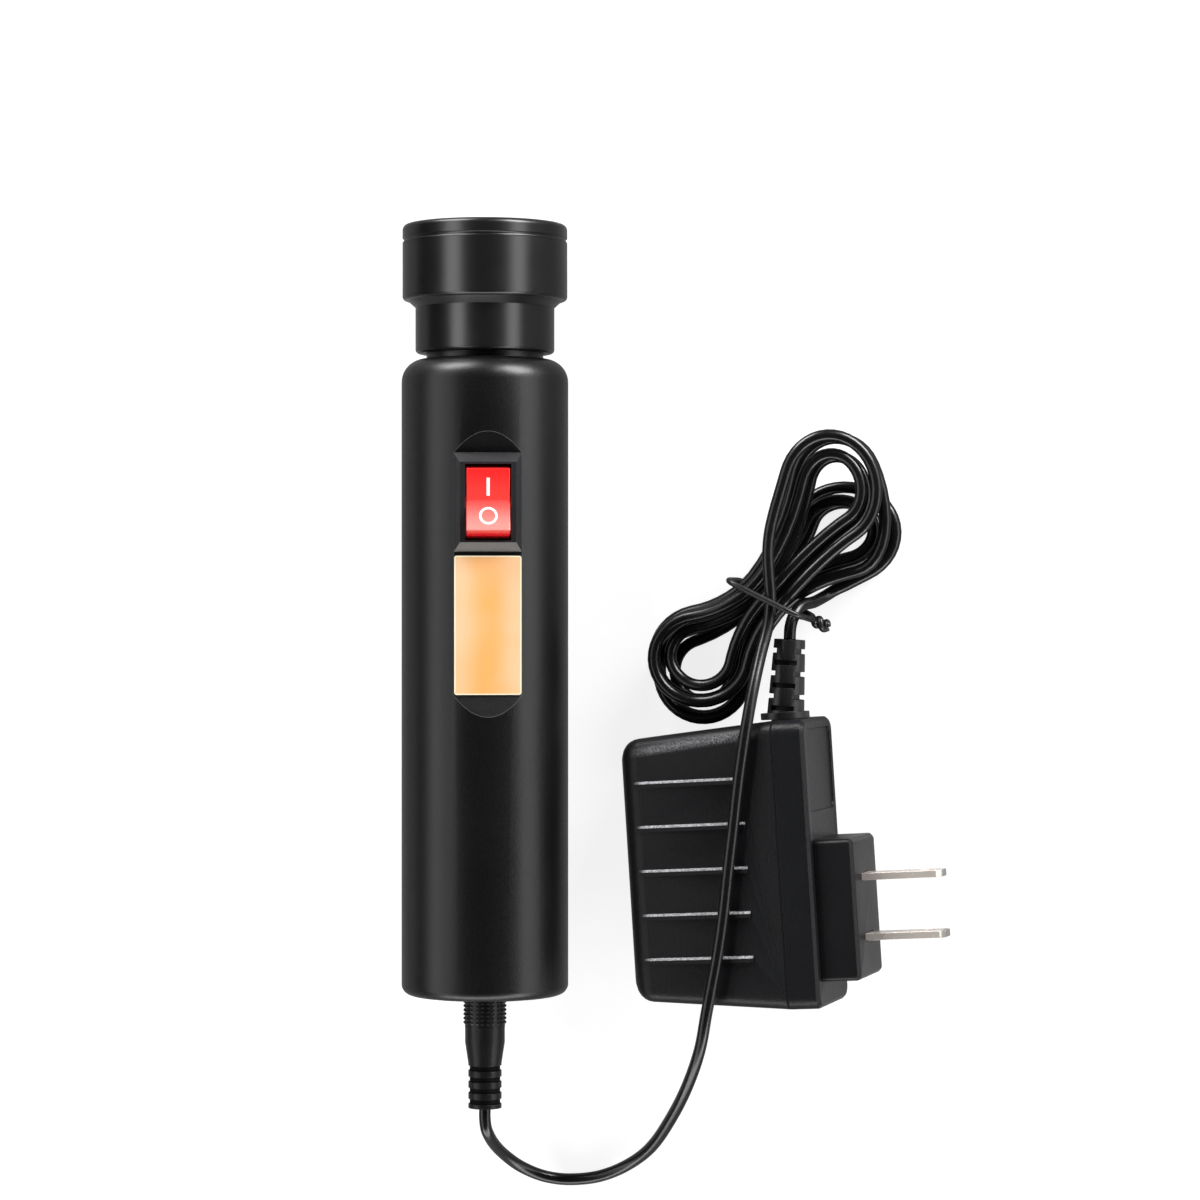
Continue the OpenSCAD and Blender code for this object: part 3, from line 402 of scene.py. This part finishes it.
tail_points = [Vector(p) for p in (
    (0.0667, -0.0013, 0.0117), (0.068, 0.0009, 0.0092), (0.0699, 0.0016, 0.0059),
    (0.0717, 0.0028, 0.0031), (0.0738, 0.0042, 0.0017),
)]
relief_way = Vector((0.057, 0.998, 0.009)).normalized()
relief_top = Vector((0.06594, -0.00638, 0.01264))
steps_between = 6
lead = smooth_path(
    [plug_end, plug_end - Vector((0, cord_d, 0))] + lead_points
    + [hank_end + k * cord_d * hank_last for k in (2, 1, 0)], steps_between)
tail = smooth_path(
    [hank_start, hank_start - cord_d * hank_first] + tail_points[::-1]
    + [relief_top + cord_d * relief_way, relief_top], steps_between)
cord_path = lead[:-1] + hank_loops[::-1] + tail
cord_length = sum((b - a).length for a, b in zip(cord_path, cord_path[1:]))
cord = sweep("cord", cord_path, oval(cord_d / 2, cord_d / 2))
jacket, shader, place = surface("cord_jacket", {"IOR": 1.5})
scuff = place.noise(900, 3)
feed(shader, "Base Color", scuff.mix((0.0025, 0.0025, 0.003, 1), (0.006, 0.006, 0.0066, 1)))
feed(shader, "Roughness", 0.2 + scuff * 0.1)
feed(shader, "Normal", place.noise(500, 1).bump(0.12, 0.00006))
cord.data.materials.append(jacket)
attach(cord, "power_lead")
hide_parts("cord_lead", "cord_hank", "cord_tail")


# Tie: a soft wire in a thin black plastic cover, laid once round the waist of the hank with its
# two ends twisted together at the side.
tie_heading = math.radians(-26)
tie_across = Vector((math.cos(tie_heading), math.sin(tie_heading), 0))
tie_along = Vector((0, 0, 1)).cross(tie_across)
tie_mid = Vector((0.0612, 0.0023, 0.009275))
tie_half_w = 0.009
tie_half_h = 0.008575
tie_square = 1 / 3
tie_open = 16
tie_steps = 96
tie_path = []
for i in range(tie_steps + 1):
    angle = math.radians(tie_open / 2 + i * (360 - tie_open) / tie_steps)
    wide = math.copysign(abs(math.cos(angle)) ** tie_square, math.cos(angle))
    high = math.copysign(abs(math.sin(angle)) ** tie_square, math.sin(angle))
    tie_path.append(tie_mid + tie_half_w * wide * tie_across + Vector((0, 0, tie_half_h * high)))
twist_start = 0.0104
twist_len = 0.0034
twist_r = 0.00085
twist_steps = 24
tie_ends = {}
for end in (1, -1):
    tie_ends[end] = []
    for i in range(1, twist_steps + 1):
        angle = math.radians(90 * end + 360 * (i - 1) / twist_steps)
        out = twist_start + twist_len * i / twist_steps
        twist = Vector((0, 0, math.sin(angle))) + math.cos(angle) * tie_along
        tie_ends[end].append(tie_mid + out * tie_across + twist_r * twist)
cover_half_w = 0.0007
cover_half_h = 0.00062
tie = sweep("tie", tie_ends[1][::-1] + tie_path + tie_ends[-1], oval(cover_half_w, cover_half_h))
cover, shader, place = surface("tie_cover", {})
worn = place.noise(1200, 3)
feed(shader, "Base Color", worn.mix((0.004, 0.004, 0.0046, 1), (0.012, 0.012, 0.013, 1)))
feed(shader, "Roughness", 0.28 + worn * 0.16)
feed(shader, "Normal", worn.bump(0.3, 0.0001))
tie.data.materials.append(cover)
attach(tie, "power_lead")
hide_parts("hank_tie")


# Handle tube: one black ABS moulding with a rounded shoulder, a neck for the cup and a flat for
# the switch. Its surface is satin with a fine even grain from the mould, and the rounded edges
# round the flat are painted a little brighter, a painted highlight.
def moulded(name, dark, light, dull, grain, depth, shine=0.5):
    """Moulded plastic: a colour that drifts between two tones, a dullness, and a fine grain."""
    material, shader, place = surface(name, {"IOR": 1.5, "Specular IOR Level": shine})
    speck = place.noise(grain, 2)
    drift = place.noise(70, 3)
    feed(shader, "Base Color", drift.mix((*dark, 1), (*light, 1)))
    feed(shader, "Roughness", dull + (speck - 0.5) * 0.16 + (drift - 0.5) * 0.08)
    feed(shader, "Normal", speck.bump(0.35, depth))
    return material


def softened(name, node, body, width, limit, face_finish, edge_finish):
    """A copy of a CAD node's form with its sharp edges rounded, which have a finish of their own."""
    same_place = 1e-6
    same_plane = math.radians(1.5)
    most_corners = 60
    mesh = bmesh.new()
    mesh.from_mesh(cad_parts[node].data)
    bmesh.ops.remove_doubles(mesh, verts=mesh.verts, dist=same_place)
    bmesh.ops.dissolve_limit(mesh, angle_limit=same_plane, verts=mesh.verts, edges=mesh.edges)
    # A flat face with a hole has many corners, and is split because the rounding would fill its hole.
    many_cornered = [face for face in mesh.faces if len(face.verts) > most_corners]
    bmesh.ops.triangulate(mesh, faces=many_cornered)
    data = bpy.data.meshes.new(name)
    mesh.to_mesh(data)
    mesh.free()
    data.materials.append(face_finish)
    data.materials.append(edge_finish)
    data.shade_smooth()
    data.set_sharp_from_angle(angle=math.radians(limit))
    made = bpy.data.objects.new(name, data)
    bpy.context.scene.collection.objects.link(made)
    rounding = made.modifiers.new("rounding", "BEVEL")
    rounding.width = width
    rounding.segments = 3
    rounding.limit_method = "ANGLE"
    rounding.angle_limit = math.radians(limit)
    rounding.use_clamp_overlap = True
    rounding.harden_normals = True
    rounding.material = 1
    bpy.context.view_layer.update()
    done = bpy.data.meshes.new_from_object(made.evaluated_get(bpy.context.evaluated_depsgraph_get()))
    made.modifiers.remove(rounding)
    made.data = done
    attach(made, body)
    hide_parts(node)
    return made


handle_satin = moulded(
    "handle_satin", (0.0012, 0.0012, 0.0014), (0.002, 0.002, 0.0023), 0.36, 2600, 0.00005)
# Painted highlight: a much paler finish for the rounded edges round the flat.
handle_edge_highlight = moulded("handle_edge_highlight", (0.08, 0.08, 0.082), (0.13, 0.13, 0.133), 0.3, 2600, 0.00003)
handle = softened("handle_shell", "handle_tube", "lamp", 0.00016, 13, handle_satin, handle_edge_highlight)
flat_low = -0.03
flat_high = 0.045
for face in handle.data.polygons:
    if not flat_low < face.center.y < flat_high:
        face.material_index = 0


# Base cap: a black disc pressed into the bottom of the tube, which carries the jack.
# It is the same plastic as the tube, a little duller.
def dress(node, material):
    """Give a CAD node's object its finish."""
    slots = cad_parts[node].material_slots
    for slot in slots:
        slot.material = material
    if not slots:
        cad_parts[node].data.materials.append(material)


dress("base_cap", moulded("cap_dull", (0.006, 0.006, 0.007), (0.01, 0.01, 0.011), 0.46, 2200, 0.00006))


# Jack: a black threaded body in the base cap, held by a steel nut, with a centre pin and a
# sleeve lug of brass.
def metal(name, dark, light, dull, grain):
    """Metal with a drifting tone and a fine drawn or turned grain."""
    material, shader, place = surface(name, {"Metallic": 1.0})
    speck = place.noise(grain, 3)
    drift = place.noise(120, 2)
    feed(shader, "Base Color", drift.mix((*dark, 1), (*light, 1)))
    feed(shader, "Roughness", dull + (speck - 0.5) * 0.2)
    feed(shader, "Normal", speck.bump(0.15, 0.00003))
    return material


dress("dc_jack", moulded("jack_black", (0.012, 0.012, 0.012), (0.02, 0.02, 0.02), 0.4, 3000, 0.00004))
contact_brass = metal("contact_brass", (0.62, 0.45, 0.2), (0.76, 0.58, 0.3), 0.28, 2500)
dress("jack_pin", contact_brass)
dress("jack_lug", contact_brass)
dress("jack_nut", metal("nut_steel", (0.5, 0.5, 0.5), (0.66, 0.66, 0.65), 0.3, 1800))


# Light engine: a turned aluminium slug in the neck, a round white board bonded flat on it, and
# one warm white emitter soldered on the board, which is lit.
dress("heat_sink", metal("sink_turned", (0.62, 0.63, 0.65), (0.78, 0.79, 0.8), 0.35, 1500))
board, shader, place = surface("board_white", {"IOR": 1.5})
mask = place.noise(1400, 2)
feed(shader, "Base Color", mask.mix((0.78, 0.78, 0.75, 1), (0.86, 0.86, 0.83, 1)))
feed(shader, "Roughness", 0.32 + mask * 0.15)
dress("led_board", board)
glow, shader, place = surface("emitter_glow", {"Roughness": 0.3, "Emission Strength": 14.0})
phosphor = place.noise(2000, 2)
feed(shader, "Base Color", phosphor.mix((0.9, 0.75, 0.3, 1), (0.95, 0.82, 0.4, 1)))
feed(shader, "Emission Color", phosphor.mix((1, 0.82, 0.5, 1), (1, 0.9, 0.66, 1)))
dress("led_emitter", glow)


# Lens: a clear moulded disc with a low dome that lies on the end of the neck, where the cup
# holds it. It has the faint haze of a moulded part.
clear, shader, place = surface(
    "lens_clear", {"Transmission Weight": 1.0, "IOR": 1.49, "Base Color": (0.98, 0.99, 1, 1)})
haze = place.noise(700, 3)
feed(shader, "Roughness", 0.03 + haze * 0.06)
feed(shader, "Normal", haze.bump(0.05, 0.00005))
dress("lens", clear)


# Cup: soft black rubber moulded in one piece and pushed over the neck. It is smooth, and a little
# glossier than the handle.
rubber, shader, place = surface("cup_rubber", {"IOR": 1.52})
bloom = place.noise(160, 4)
feed(shader, "Base Color", bloom.mix((0.0022, 0.0022, 0.0025, 1), (0.0036, 0.0036, 0.004, 1)))
feed(shader, "Roughness", 0.27 + bloom * 0.06)
feed(shader, "Normal", place.noise(420, 2).bump(0.08, 0.00003))
dress("eyecup", rubber)


# Wiring: thin red and black stranded wires soldered to the switch, the jack and the board, and
# a small series resistor with colour bands.
wire_red = moulded("wire_red", (0.4, 0.02, 0.015), (0.5, 0.03, 0.02), 0.34, 1600, 0.00004)
for wire in ("wire_supply", "wire_switched", "wire_led"):
    dress(wire, wire_red)
wire_black = moulded("wire_black", (0.012, 0.012, 0.013), (0.022, 0.022, 0.023), 0.36, 1600, 0.00004)
dress("wire_return", wire_black)
banded, shader, place = surface("resistor_bands", {"IOR": 1.5})
from_end = place.axis(1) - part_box("resistor")[0][1]
banded_tone = place.noise(900, 2).mix((0.62, 0.46, 0.3, 1), (0.7, 0.54, 0.37, 1))
for band_at, band_tone in ((0.0042, (0.3, 0.08, 0.03, 1)), (0.0058, (0.5, 0.1, 0.02, 1))):
    off_band = abs(from_end - band_at).ramp(0.0003, 0.0004)
    banded_tone = off_band.mix(band_tone, banded_tone)
feed(shader, "Base Color", banded_tone)
feed(shader, "Roughness", 0.3 + place.noise(1500, 2) * 0.12)
dress("resistor", banded)


# Switch housing: a black snap-in nylon body whose sloped bezel lies on the handle's flat, with
# two tinned blade terminals at its back. The slopes have the coarse grain of the mould.
switch_nylon = moulded(
    "switch_nylon", (0.008, 0.0075, 0.009), (0.014, 0.0132, 0.0155), 0.34, 3200, 0.00016, 0.8)
switch_edge = moulded("switch_edge", (0.02, 0.019, 0.022), (0.035, 0.033, 0.038), 0.28, 3200, 0.00004)
housing = softened("switch_bezel", "switch_housing", "lamp", 0.00012, 25, switch_nylon, switch_edge)
dress("switch_terminals", metal("terminal_tin", (0.6, 0.56, 0.46), (0.72, 0.68, 0.58), 0.3, 2000))


# Rocker: a red polycarbonate moulding with softened edges that tips on two pins in the housing.
# It carries a white bar on its on side and a white ring on its off side, both printed.
roll = math.radians(18)
flat_out = Vector((math.sin(roll), 0, math.cos(roll)))
flat_side = Vector((math.cos(roll), 0, -math.sin(roll)))
pivot = Vector((0.0049443, 0.0227, 0.0332169))
press = math.radians(9)
rocker_up = flat_out * math.cos(press) + Vector((0, 1, 0)) * math.sin(press)
rocker_along = Vector((0, 1, 0)) * math.cos(press) - flat_out * math.sin(press)
# Painted light: the red pales towards the off end as a painted sheen, and the off end's face is darker as
# painted shade. A faint emission of the same colours is a painted glow, as the rocker holds no lamp.
red, shader, place = surface(
    "rocker_red", {"IOR": 1.49, "Coat Weight": 0.5, "Coat Roughness": 0.1, "Emission Strength": 0.2})
along_cap = place.along(rocker_along) - pivot.dot(rocker_along)
cloud = place.noise(500, 2)
pale = along_cap.ramp(0.0008, -0.0062).mix((0.74, 0.04, 0.034, 1), (0.9, 0.22, 0.195, 1))
deep = along_cap.ramp(0.0005, 0.0068).mix(pale, (0.72, 0.016, 0.016, 1))
toned = along_cap.ramp(-0.00655, -0.0067).mix(deep, (0.56, 0.01, 0.014, 1))
feed(shader, "Base Color", toned)
feed(shader, "Emission Color", toned)
feed(shader, "Roughness", 0.22 + cloud * 0.1)
rocker = softened("rocker_cap", "rocker", "rocker", 0.00022, 25, red, red)

ink, shader, place = surface("mark_white", {"IOR": 1.5})
chalk = place.noise(3000, 2)
feed(shader, "Base Color", chalk.mix((0.86, 0.84, 0.83, 1), (0.94, 0.92, 0.91, 1)))
feed(shader, "Roughness", 0.45 + chalk * 0.15)
rocker_dip = 0.0013
rocker_half = 0.0066
rise = math.atan2(rocker_dip, rocker_half)
dip_height = 0.0022623
mark_foot = -0.0001
mark_top = 0.00004


def mark(name, side, outline, hole):
    """A thin printed mark on one slope of the rocker, from an outline and that of its hole."""
    slope = rocker_along * math.cos(rise) * side + rocker_up * math.sin(rise)
    out = rocker_up * math.cos(rise) - rocker_along * math.sin(rise) * side

    def at(x, y, z):
        return pivot + rocker_up * dip_height + flat_side * x + slope * y + out * z

    mesh = bmesh.new()
    count = len(outline)
    loops = []
    for line in (outline, hole):
        if line:
            loops.append([[mesh.verts.new(at(x, y, z)) for x, y in line] for z in (mark_foot, mark_top)])
    for low, high in loops:
        for k in range(count):
            mesh.faces.new((low[k], low[(k + 1) % count], high[(k + 1) % count], high[k]))
    for level in (0, 1):
        outer = loops[0][level]
        if hole:
            inner = loops[1][level]
            for k in range(count):
                j = (k + 1) % count
                mesh.faces.new((outer[k], outer[j], inner[j], inner[k]))
        else:
            mesh.faces.new(outer)
    bmesh.ops.recalc_face_normals(mesh, faces=mesh.faces)
    data = bpy.data.meshes.new(name)
    mesh.to_mesh(data)
    mesh.free()
    data.materials.append(ink)
    made = bpy.data.objects.new(name, data)
    bpy.context.scene.collection.objects.link(made)
    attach(made, "rocker")


bar_half = 0.00034
bar_low = 0.00098
bar_high = 0.00478
bar = [(-bar_half, bar_low), (bar_half, bar_low), (bar_half, bar_high), (-bar_half, bar_high)]
mark("mark_on", 1, bar, None)
ring_at = 0.00349
ring_outer = 0.00196
ring_inner = 0.00146
ring = [(math.cos(k * math.pi / 24), math.sin(k * math.pi / 24)) for k in range(48)]
mark(
    "mark_off", -1, [(ring_outer * x, ring_at + ring_outer * y) for x, y in ring],
    [(ring_inner * x, ring_at + ring_inner * y) for x, y in ring])


# Rating plate: a thin aluminium plate in pale gold lacquer, glued on the flat, bare, with a
# light line round its edge. The lacquer deepens towards the middle, over a faint brushed grain.
gold, shader, place = surface("plate_gold", {"Metallic": 0.12, "IOR": 1.5})
plate_middle = (-0.00556, -0.0033)
turned = place.node(
    "ShaderNodeVectorRotate", 0, {"rotation_type": "Y_AXIS"}, {"Vector": place, "Angle": -roll})
plate_x = abs(turned.axis(0) - plate_middle[0])
plate_y = abs(turned.axis(1) - plate_middle[1])
stretched = turned.node("ShaderNodeVectorMath", 0, {"operation": "MULTIPLY"}, {0: turned, 1: (1, 0.06, 1)})
brushed = stretched.noise(2600, 3)
patches = turned.noise(95, 1).ramp(0.4, 0.68)
edge_line = plate_x.math("MAXIMUM", plate_x.ramp(0.0068, 0.0069), plate_y.ramp(0.0144, 0.0145))
paleness = plate_x.ramp(0.0006, 0.0068) * 0.72 + patches * 0.28
lacquer = paleness.mix((0.92, 0.43, 0.13, 1), (0.9, 0.6, 0.37, 1))
grained = (brushed * 0.22).mix(lacquer, (0.9, 0.46, 0.13, 1))
shown = edge_line.mix(grained, (1, 0.9, 0.66, 1))
feed(shader, "Base Color", shown)
feed(shader, "Roughness", 0.32 + brushed * 0.2)
feed(shader, "Normal", brushed.bump(0.1, 0.00003))
dress("rating_plate", gold)


# Plug: a nickel barrel in a black vinyl overmould with a grip, a smooth cone and a bend relief,
# whose grooves are shallow, with painted shade. The grip is covered by rows of small moulded studs.
dress("plug_barrel", metal("barrel_nickel", (0.62, 0.62, 0.6), (0.76, 0.76, 0.74), 0.2, 2200))
plug_vinyl = moulded(
    "plug_vinyl", (0.004, 0.004, 0.005), (0.007, 0.007, 0.008), 0.36, 2400, 0.00006, 0.35)
plug_edge = moulded("plug_edge", (0.012, 0.012, 0.013), (0.02, 0.02, 0.021), 0.3, 2400, 0.00004)
plug = softened("plug_jacket", "plug_overmould", "power_lead", 0.0001, 40, plug_vinyl, plug_edge)
grip_foot = -0.0902
grip_r = 0.00465
core_r = 0.00434
cord_hole_r = 0.0019
groove_r = 0.0033
groove_rim = 0.00018
relief_foot = -0.0972
hair = 0.0001
plug_axis = Vector((0, 0, 0.018))
# The grip is drawn in to the core on which its studs stand, and the grooves are filled in part.
for vertex in plug.data.vertices:
    reach = Vector((vertex.co.x, 0, vertex.co.z - plug_axis.z))
    if vertex.co.y > grip_foot - hair and reach.length > core_r:
        vertex.co -= reach * (1 - core_r / reach.length)
    if vertex.co.y < relief_foot and cord_hole_r < reach.length < groove_r:
        vertex.co += reach * (groove_r / reach.length - 1)
# Painted shade: a darker, duller finish on the faces in the grooves.
groove_shade = moulded(
    "groove_shade", (0.001, 0.001, 0.001), (0.002, 0.002, 0.002), 0.6, 2400, 0.00004, 0.1)
plug.data.materials.append(groove_shade)
for face in plug.data.polygons:
    reach = Vector((face.center.x, 0, face.center.z - plug_axis.z)).length
    if plug_end.y + 2 * hair < face.center.y < relief_foot and reach < groove_r + groove_rim:
        face.material_index = 2

studs = bpy.data.node_groups.new("grip_studs", "GeometryNodeTree")
for name in ("Columns", "Rows"):
    studs.interface.new_socket(name, in_out="INPUT", socket_type="NodeSocketInt")
for name in ("Core Radius", "Stud Height", "Stud Width", "First Row", "Pitch", "Axis Height"):
    studs.interface.new_socket(name, in_out="INPUT", socket_type="NodeSocketFloat")
studs.interface.new_socket("Studs", in_out="OUTPUT", socket_type="NodeSocketGeometry")
sizes = Reading(studs)
given = {item.name: sizes.node("NodeGroupInput", item.name)
         for item in studs.interface.items_tree if item.in_out == "INPUT"}
count = given["Columns"] * given["Rows"]
index = sizes.node("GeometryNodeInputIndex")
column = sizes.math("FLOOR", sizes.math("DIVIDE", index, given["Rows"]))
row = sizes.math("MODULO", index, given["Rows"])
angle = sizes.math("DIVIDE", column * (2 * math.pi), given["Columns"])
sideways = sizes.math("COSINE", angle)
upward = sizes.math("SINE", angle)
outward = sizes.node("ShaderNodeCombineXYZ", 0, None, {"X": sideways, "Y": 0.0, "Z": upward})
seat = sizes.node("ShaderNodeCombineXYZ", 0, None, {
    "X": given["Core Radius"] * sideways,
    "Y": given["First Row"] - row * given["Pitch"],
    "Z": given["Core Radius"] * upward + given["Axis Height"],
})
seats = sizes.node("GeometryNodePoints", 0, None, {"Count": count, "Position": seat})
stud = sizes.node("GeometryNodeMeshCone", 0, None, {
    "Vertices": 8, "Radius Top": given["Stud Width"] * 0.24, "Radius Bottom": given["Stud Width"] * 0.5,
    "Depth": given["Stud Height"],
})
upright = sizes.node("FunctionNodeAlignRotationToVector", 0, {"axis": "Z"}, {"Vector": outward})
placed = sizes.node(
    "GeometryNodeInstanceOnPoints", 0, None, {"Points": seats, "Instance": stud, "Rotation": upright})
whole = sizes.node("GeometryNodeRealizeInstances", 0, None, {"Geometry": placed})
covered = sizes.node("GeometryNodeSetMaterial", 0, None, {"Geometry": whole, "Material": plug_edge})
sizes.node("NodeGroupOutput", None, None, {"Studs": covered})
grip = bpy.data.objects.new("plug_studs", bpy.data.meshes.new("plug_studs"))
bpy.context.scene.collection.objects.link(grip)
knurling = grip.modifiers.new("knurling", "NODES")
knurling.node_group = studs
stud_sizes = {
    "Columns": 22, "Rows": 7, "Core Radius": core_r, "Stud Height": grip_r - core_r,
    "Stud Width": 0.00072, "First Row": -0.0838, "Pitch": 0.00089, "Axis Height": plug_axis.z,
}
for item in studs.interface.items_tree:
    if item.in_out == "INPUT":
        knurling[item.identifier] = stud_sizes[item.name]
bpy.context.view_layer.update()
grip_mesh = bpy.data.meshes.new_from_object(grip.evaluated_get(bpy.context.evaluated_depsgraph_get()))
grip.modifiers.remove(knurling)
grip.data = grip_mesh
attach(grip, "power_lead")


# Adapter: two black grained shells joined at a dark seam, and the block that holds the blades. The
# rear shell is drafted and rounded, and has ledges moulded on its side. Their upper edges are painted
# pale, a painted highlight, and pale specks along its top rim are painted glints.
case_dark = (0.005, 0.0052, 0.006)
case_light = (0.008, 0.0083, 0.0094)
case_grain = moulded("case_grain", case_dark, case_light, 0.36, 2300, 0.0002, 0.2)
case_foot = Vector((0.0319, -0.05595, 0.0099))
case_lean = math.radians(3.7)
draft = math.radians(4.2)
case_along = Vector((
    math.cos(case_lean) * math.cos(draft), math.sin(case_lean) * math.cos(draft), math.sin(draft)))
case_up = Vector((-math.sin(case_lean), math.cos(case_lean), 0))
rear_grain_and_glints, shader, place = surface("case_grain_and_glints", {"IOR": 1.5, "Specular IOR Level": 0.2})
along_case = place.along(case_along) - case_foot.dot(case_along)
up_case = place.along(case_up) - case_foot.dot(case_up)
on_top = place.axis(2).ramp(0.0185, 0.0195)
speck = place.noise(2300, 2)
drift = place.noise(70, 3)
ledge_top = 0.01825
ledge_pitch = 0.0094
ledges_up = (up_case - ledge_top) * (1 / ledge_pitch)
off_ledge = (ledges_up - ledges_up.math("ROUND", ledges_up)) * ledge_pitch
on_edge = off_ledge.band(0.00016, 0.00028, 0.0007, 0.0008)
in_reach = along_case.band(0.0034, 0.0058, 0.0281, 0.0283)
in_rows = up_case.band(-0.0215, -0.0205, 0.0196, 0.0204)
# Painted highlight: the upper edge of each ledge, on the top side only, is made pale in specks.
ledge_glint_specks = 0.45 + place.noise(2600, 2).ramp(0.4, 0.62) * 0.55
painted_ledge_highlight = on_edge * in_reach * in_rows * on_top * ledge_glint_specks
# Painted glints: pale specks in a band along the rounded top rim, on the top side only.
rim_slope = 0.1
up_rim = up_case - along_case * rim_slope
on_rim = up_rim.band(0.0234, 0.0249, 0.0251, 0.0262)
rim_reach = along_case.band(0.0024, 0.008, 0.026, 0.0342)
rim_glint_specks = 0.12 + place.noise(4600, 1).ramp(0.42, 0.74) * 0.88
painted_rim_glints = on_rim * rim_reach * on_top * rim_glint_specks
seam = along_case.ramp(0.03482, 0.0349)
plain = drift.mix((*case_dark, 1), (*case_light, 1))
with_painted_glints = (painted_ledge_highlight + painted_rim_glints * 0.5).mix(plain, (0.62, 0.62, 0.64, 1))
feed(shader, "Base Color", seam.mix(with_painted_glints, (0.0004, 0.0004, 0.0005, 1)))
feed(shader, "Roughness", 0.36 + (speck - 0.5) * 0.16 + (drift - 0.5) * 0.08 + seam * 0.4)
feed(shader, "Normal", speck.bump(0.35, 0.0002))
rear = softened("case_rear", "adapter_rear_shell", "power_lead", 0.0003, 25, rear_grain_and_glints, rear_grain_and_glints)
front = softened("case_front", "adapter_front_shell", "power_lead", 0.0002, 40, case_grain, case_grain)
block_black = moulded(
    "block_black", (0.005, 0.005, 0.006), (0.008, 0.008, 0.009), 0.36, 2400, 0.00012, 0.22)
block = softened("blade_seat", "blade_block", "power_lead", 0.0002, 40, block_black, block_black)


# Blades: two flat blades stamped from brass with a hole near each tip, nickel plated, and
# moulded into the block. The last millimetre of each tip is painted darker, as painted shade.
blade_nickel, shader, place = surface("blade_nickel", {"Metallic": 0.45})
drawn = place.noise(900, 3)
blade_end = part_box("blades")[1][0]
# Painted shade: the last millimetre of each tip is darkened.
tip = place.axis(0).ramp(blade_end - 0.0016, blade_end - 0.001)
plated = place.noise(120, 2).mix((0.62, 0.56, 0.51, 1), (0.74, 0.68, 0.62, 1))
feed(shader, "Base Color", tip.mix(plated, (0.2, 0.19, 0.18, 1)))
feed(shader, "Roughness", 0.24 + (drawn - 0.5) * 0.2)
feed(shader, "Normal", drawn.bump(0.15, 0.00003))
blades = softened("blade_pair", "blades", "power_lead", 0.00012, 40, blade_nickel, blade_nickel)


# Strain relief: a soft black vinyl sleeve moulded on the cord, with slots cut from two sides in
# turn so that it bends, and a collar that sits in the adapter's end.
relief_vinyl = moulded("relief_vinyl", (0.006, 0.006, 0.007), (0.01, 0.01, 0.011), 0.36, 2200, 0.00006)
relief = softened("relief_sleeve", "strain_relief", "power_lead", 0.0001, 40, relief_vinyl, relief_vinyl)


# Inside of the adapter: a green board on two bosses, with a ferrite transformer and two sleeved
# capacitors soldered on it.
for node, finish, dark, light, dull, grain, depth in (
    ("adapter_board", "pcb_green", (0.01, 0.09, 0.03), (0.015, 0.13, 0.045), 0.34, 1300, 0.00004),
    ("transformer", "core_ferrite", (0.03, 0.03, 0.032), (0.06, 0.06, 0.062), 0.5, 1500, 0.00008),
    ("capacitors", "capacitor_sleeve", (0.01, 0.03, 0.12), (0.015, 0.045, 0.17), 0.3, 1600, 0.00003),
):
    dress(node, moulded(finish, dark, light, dull, grain, depth))
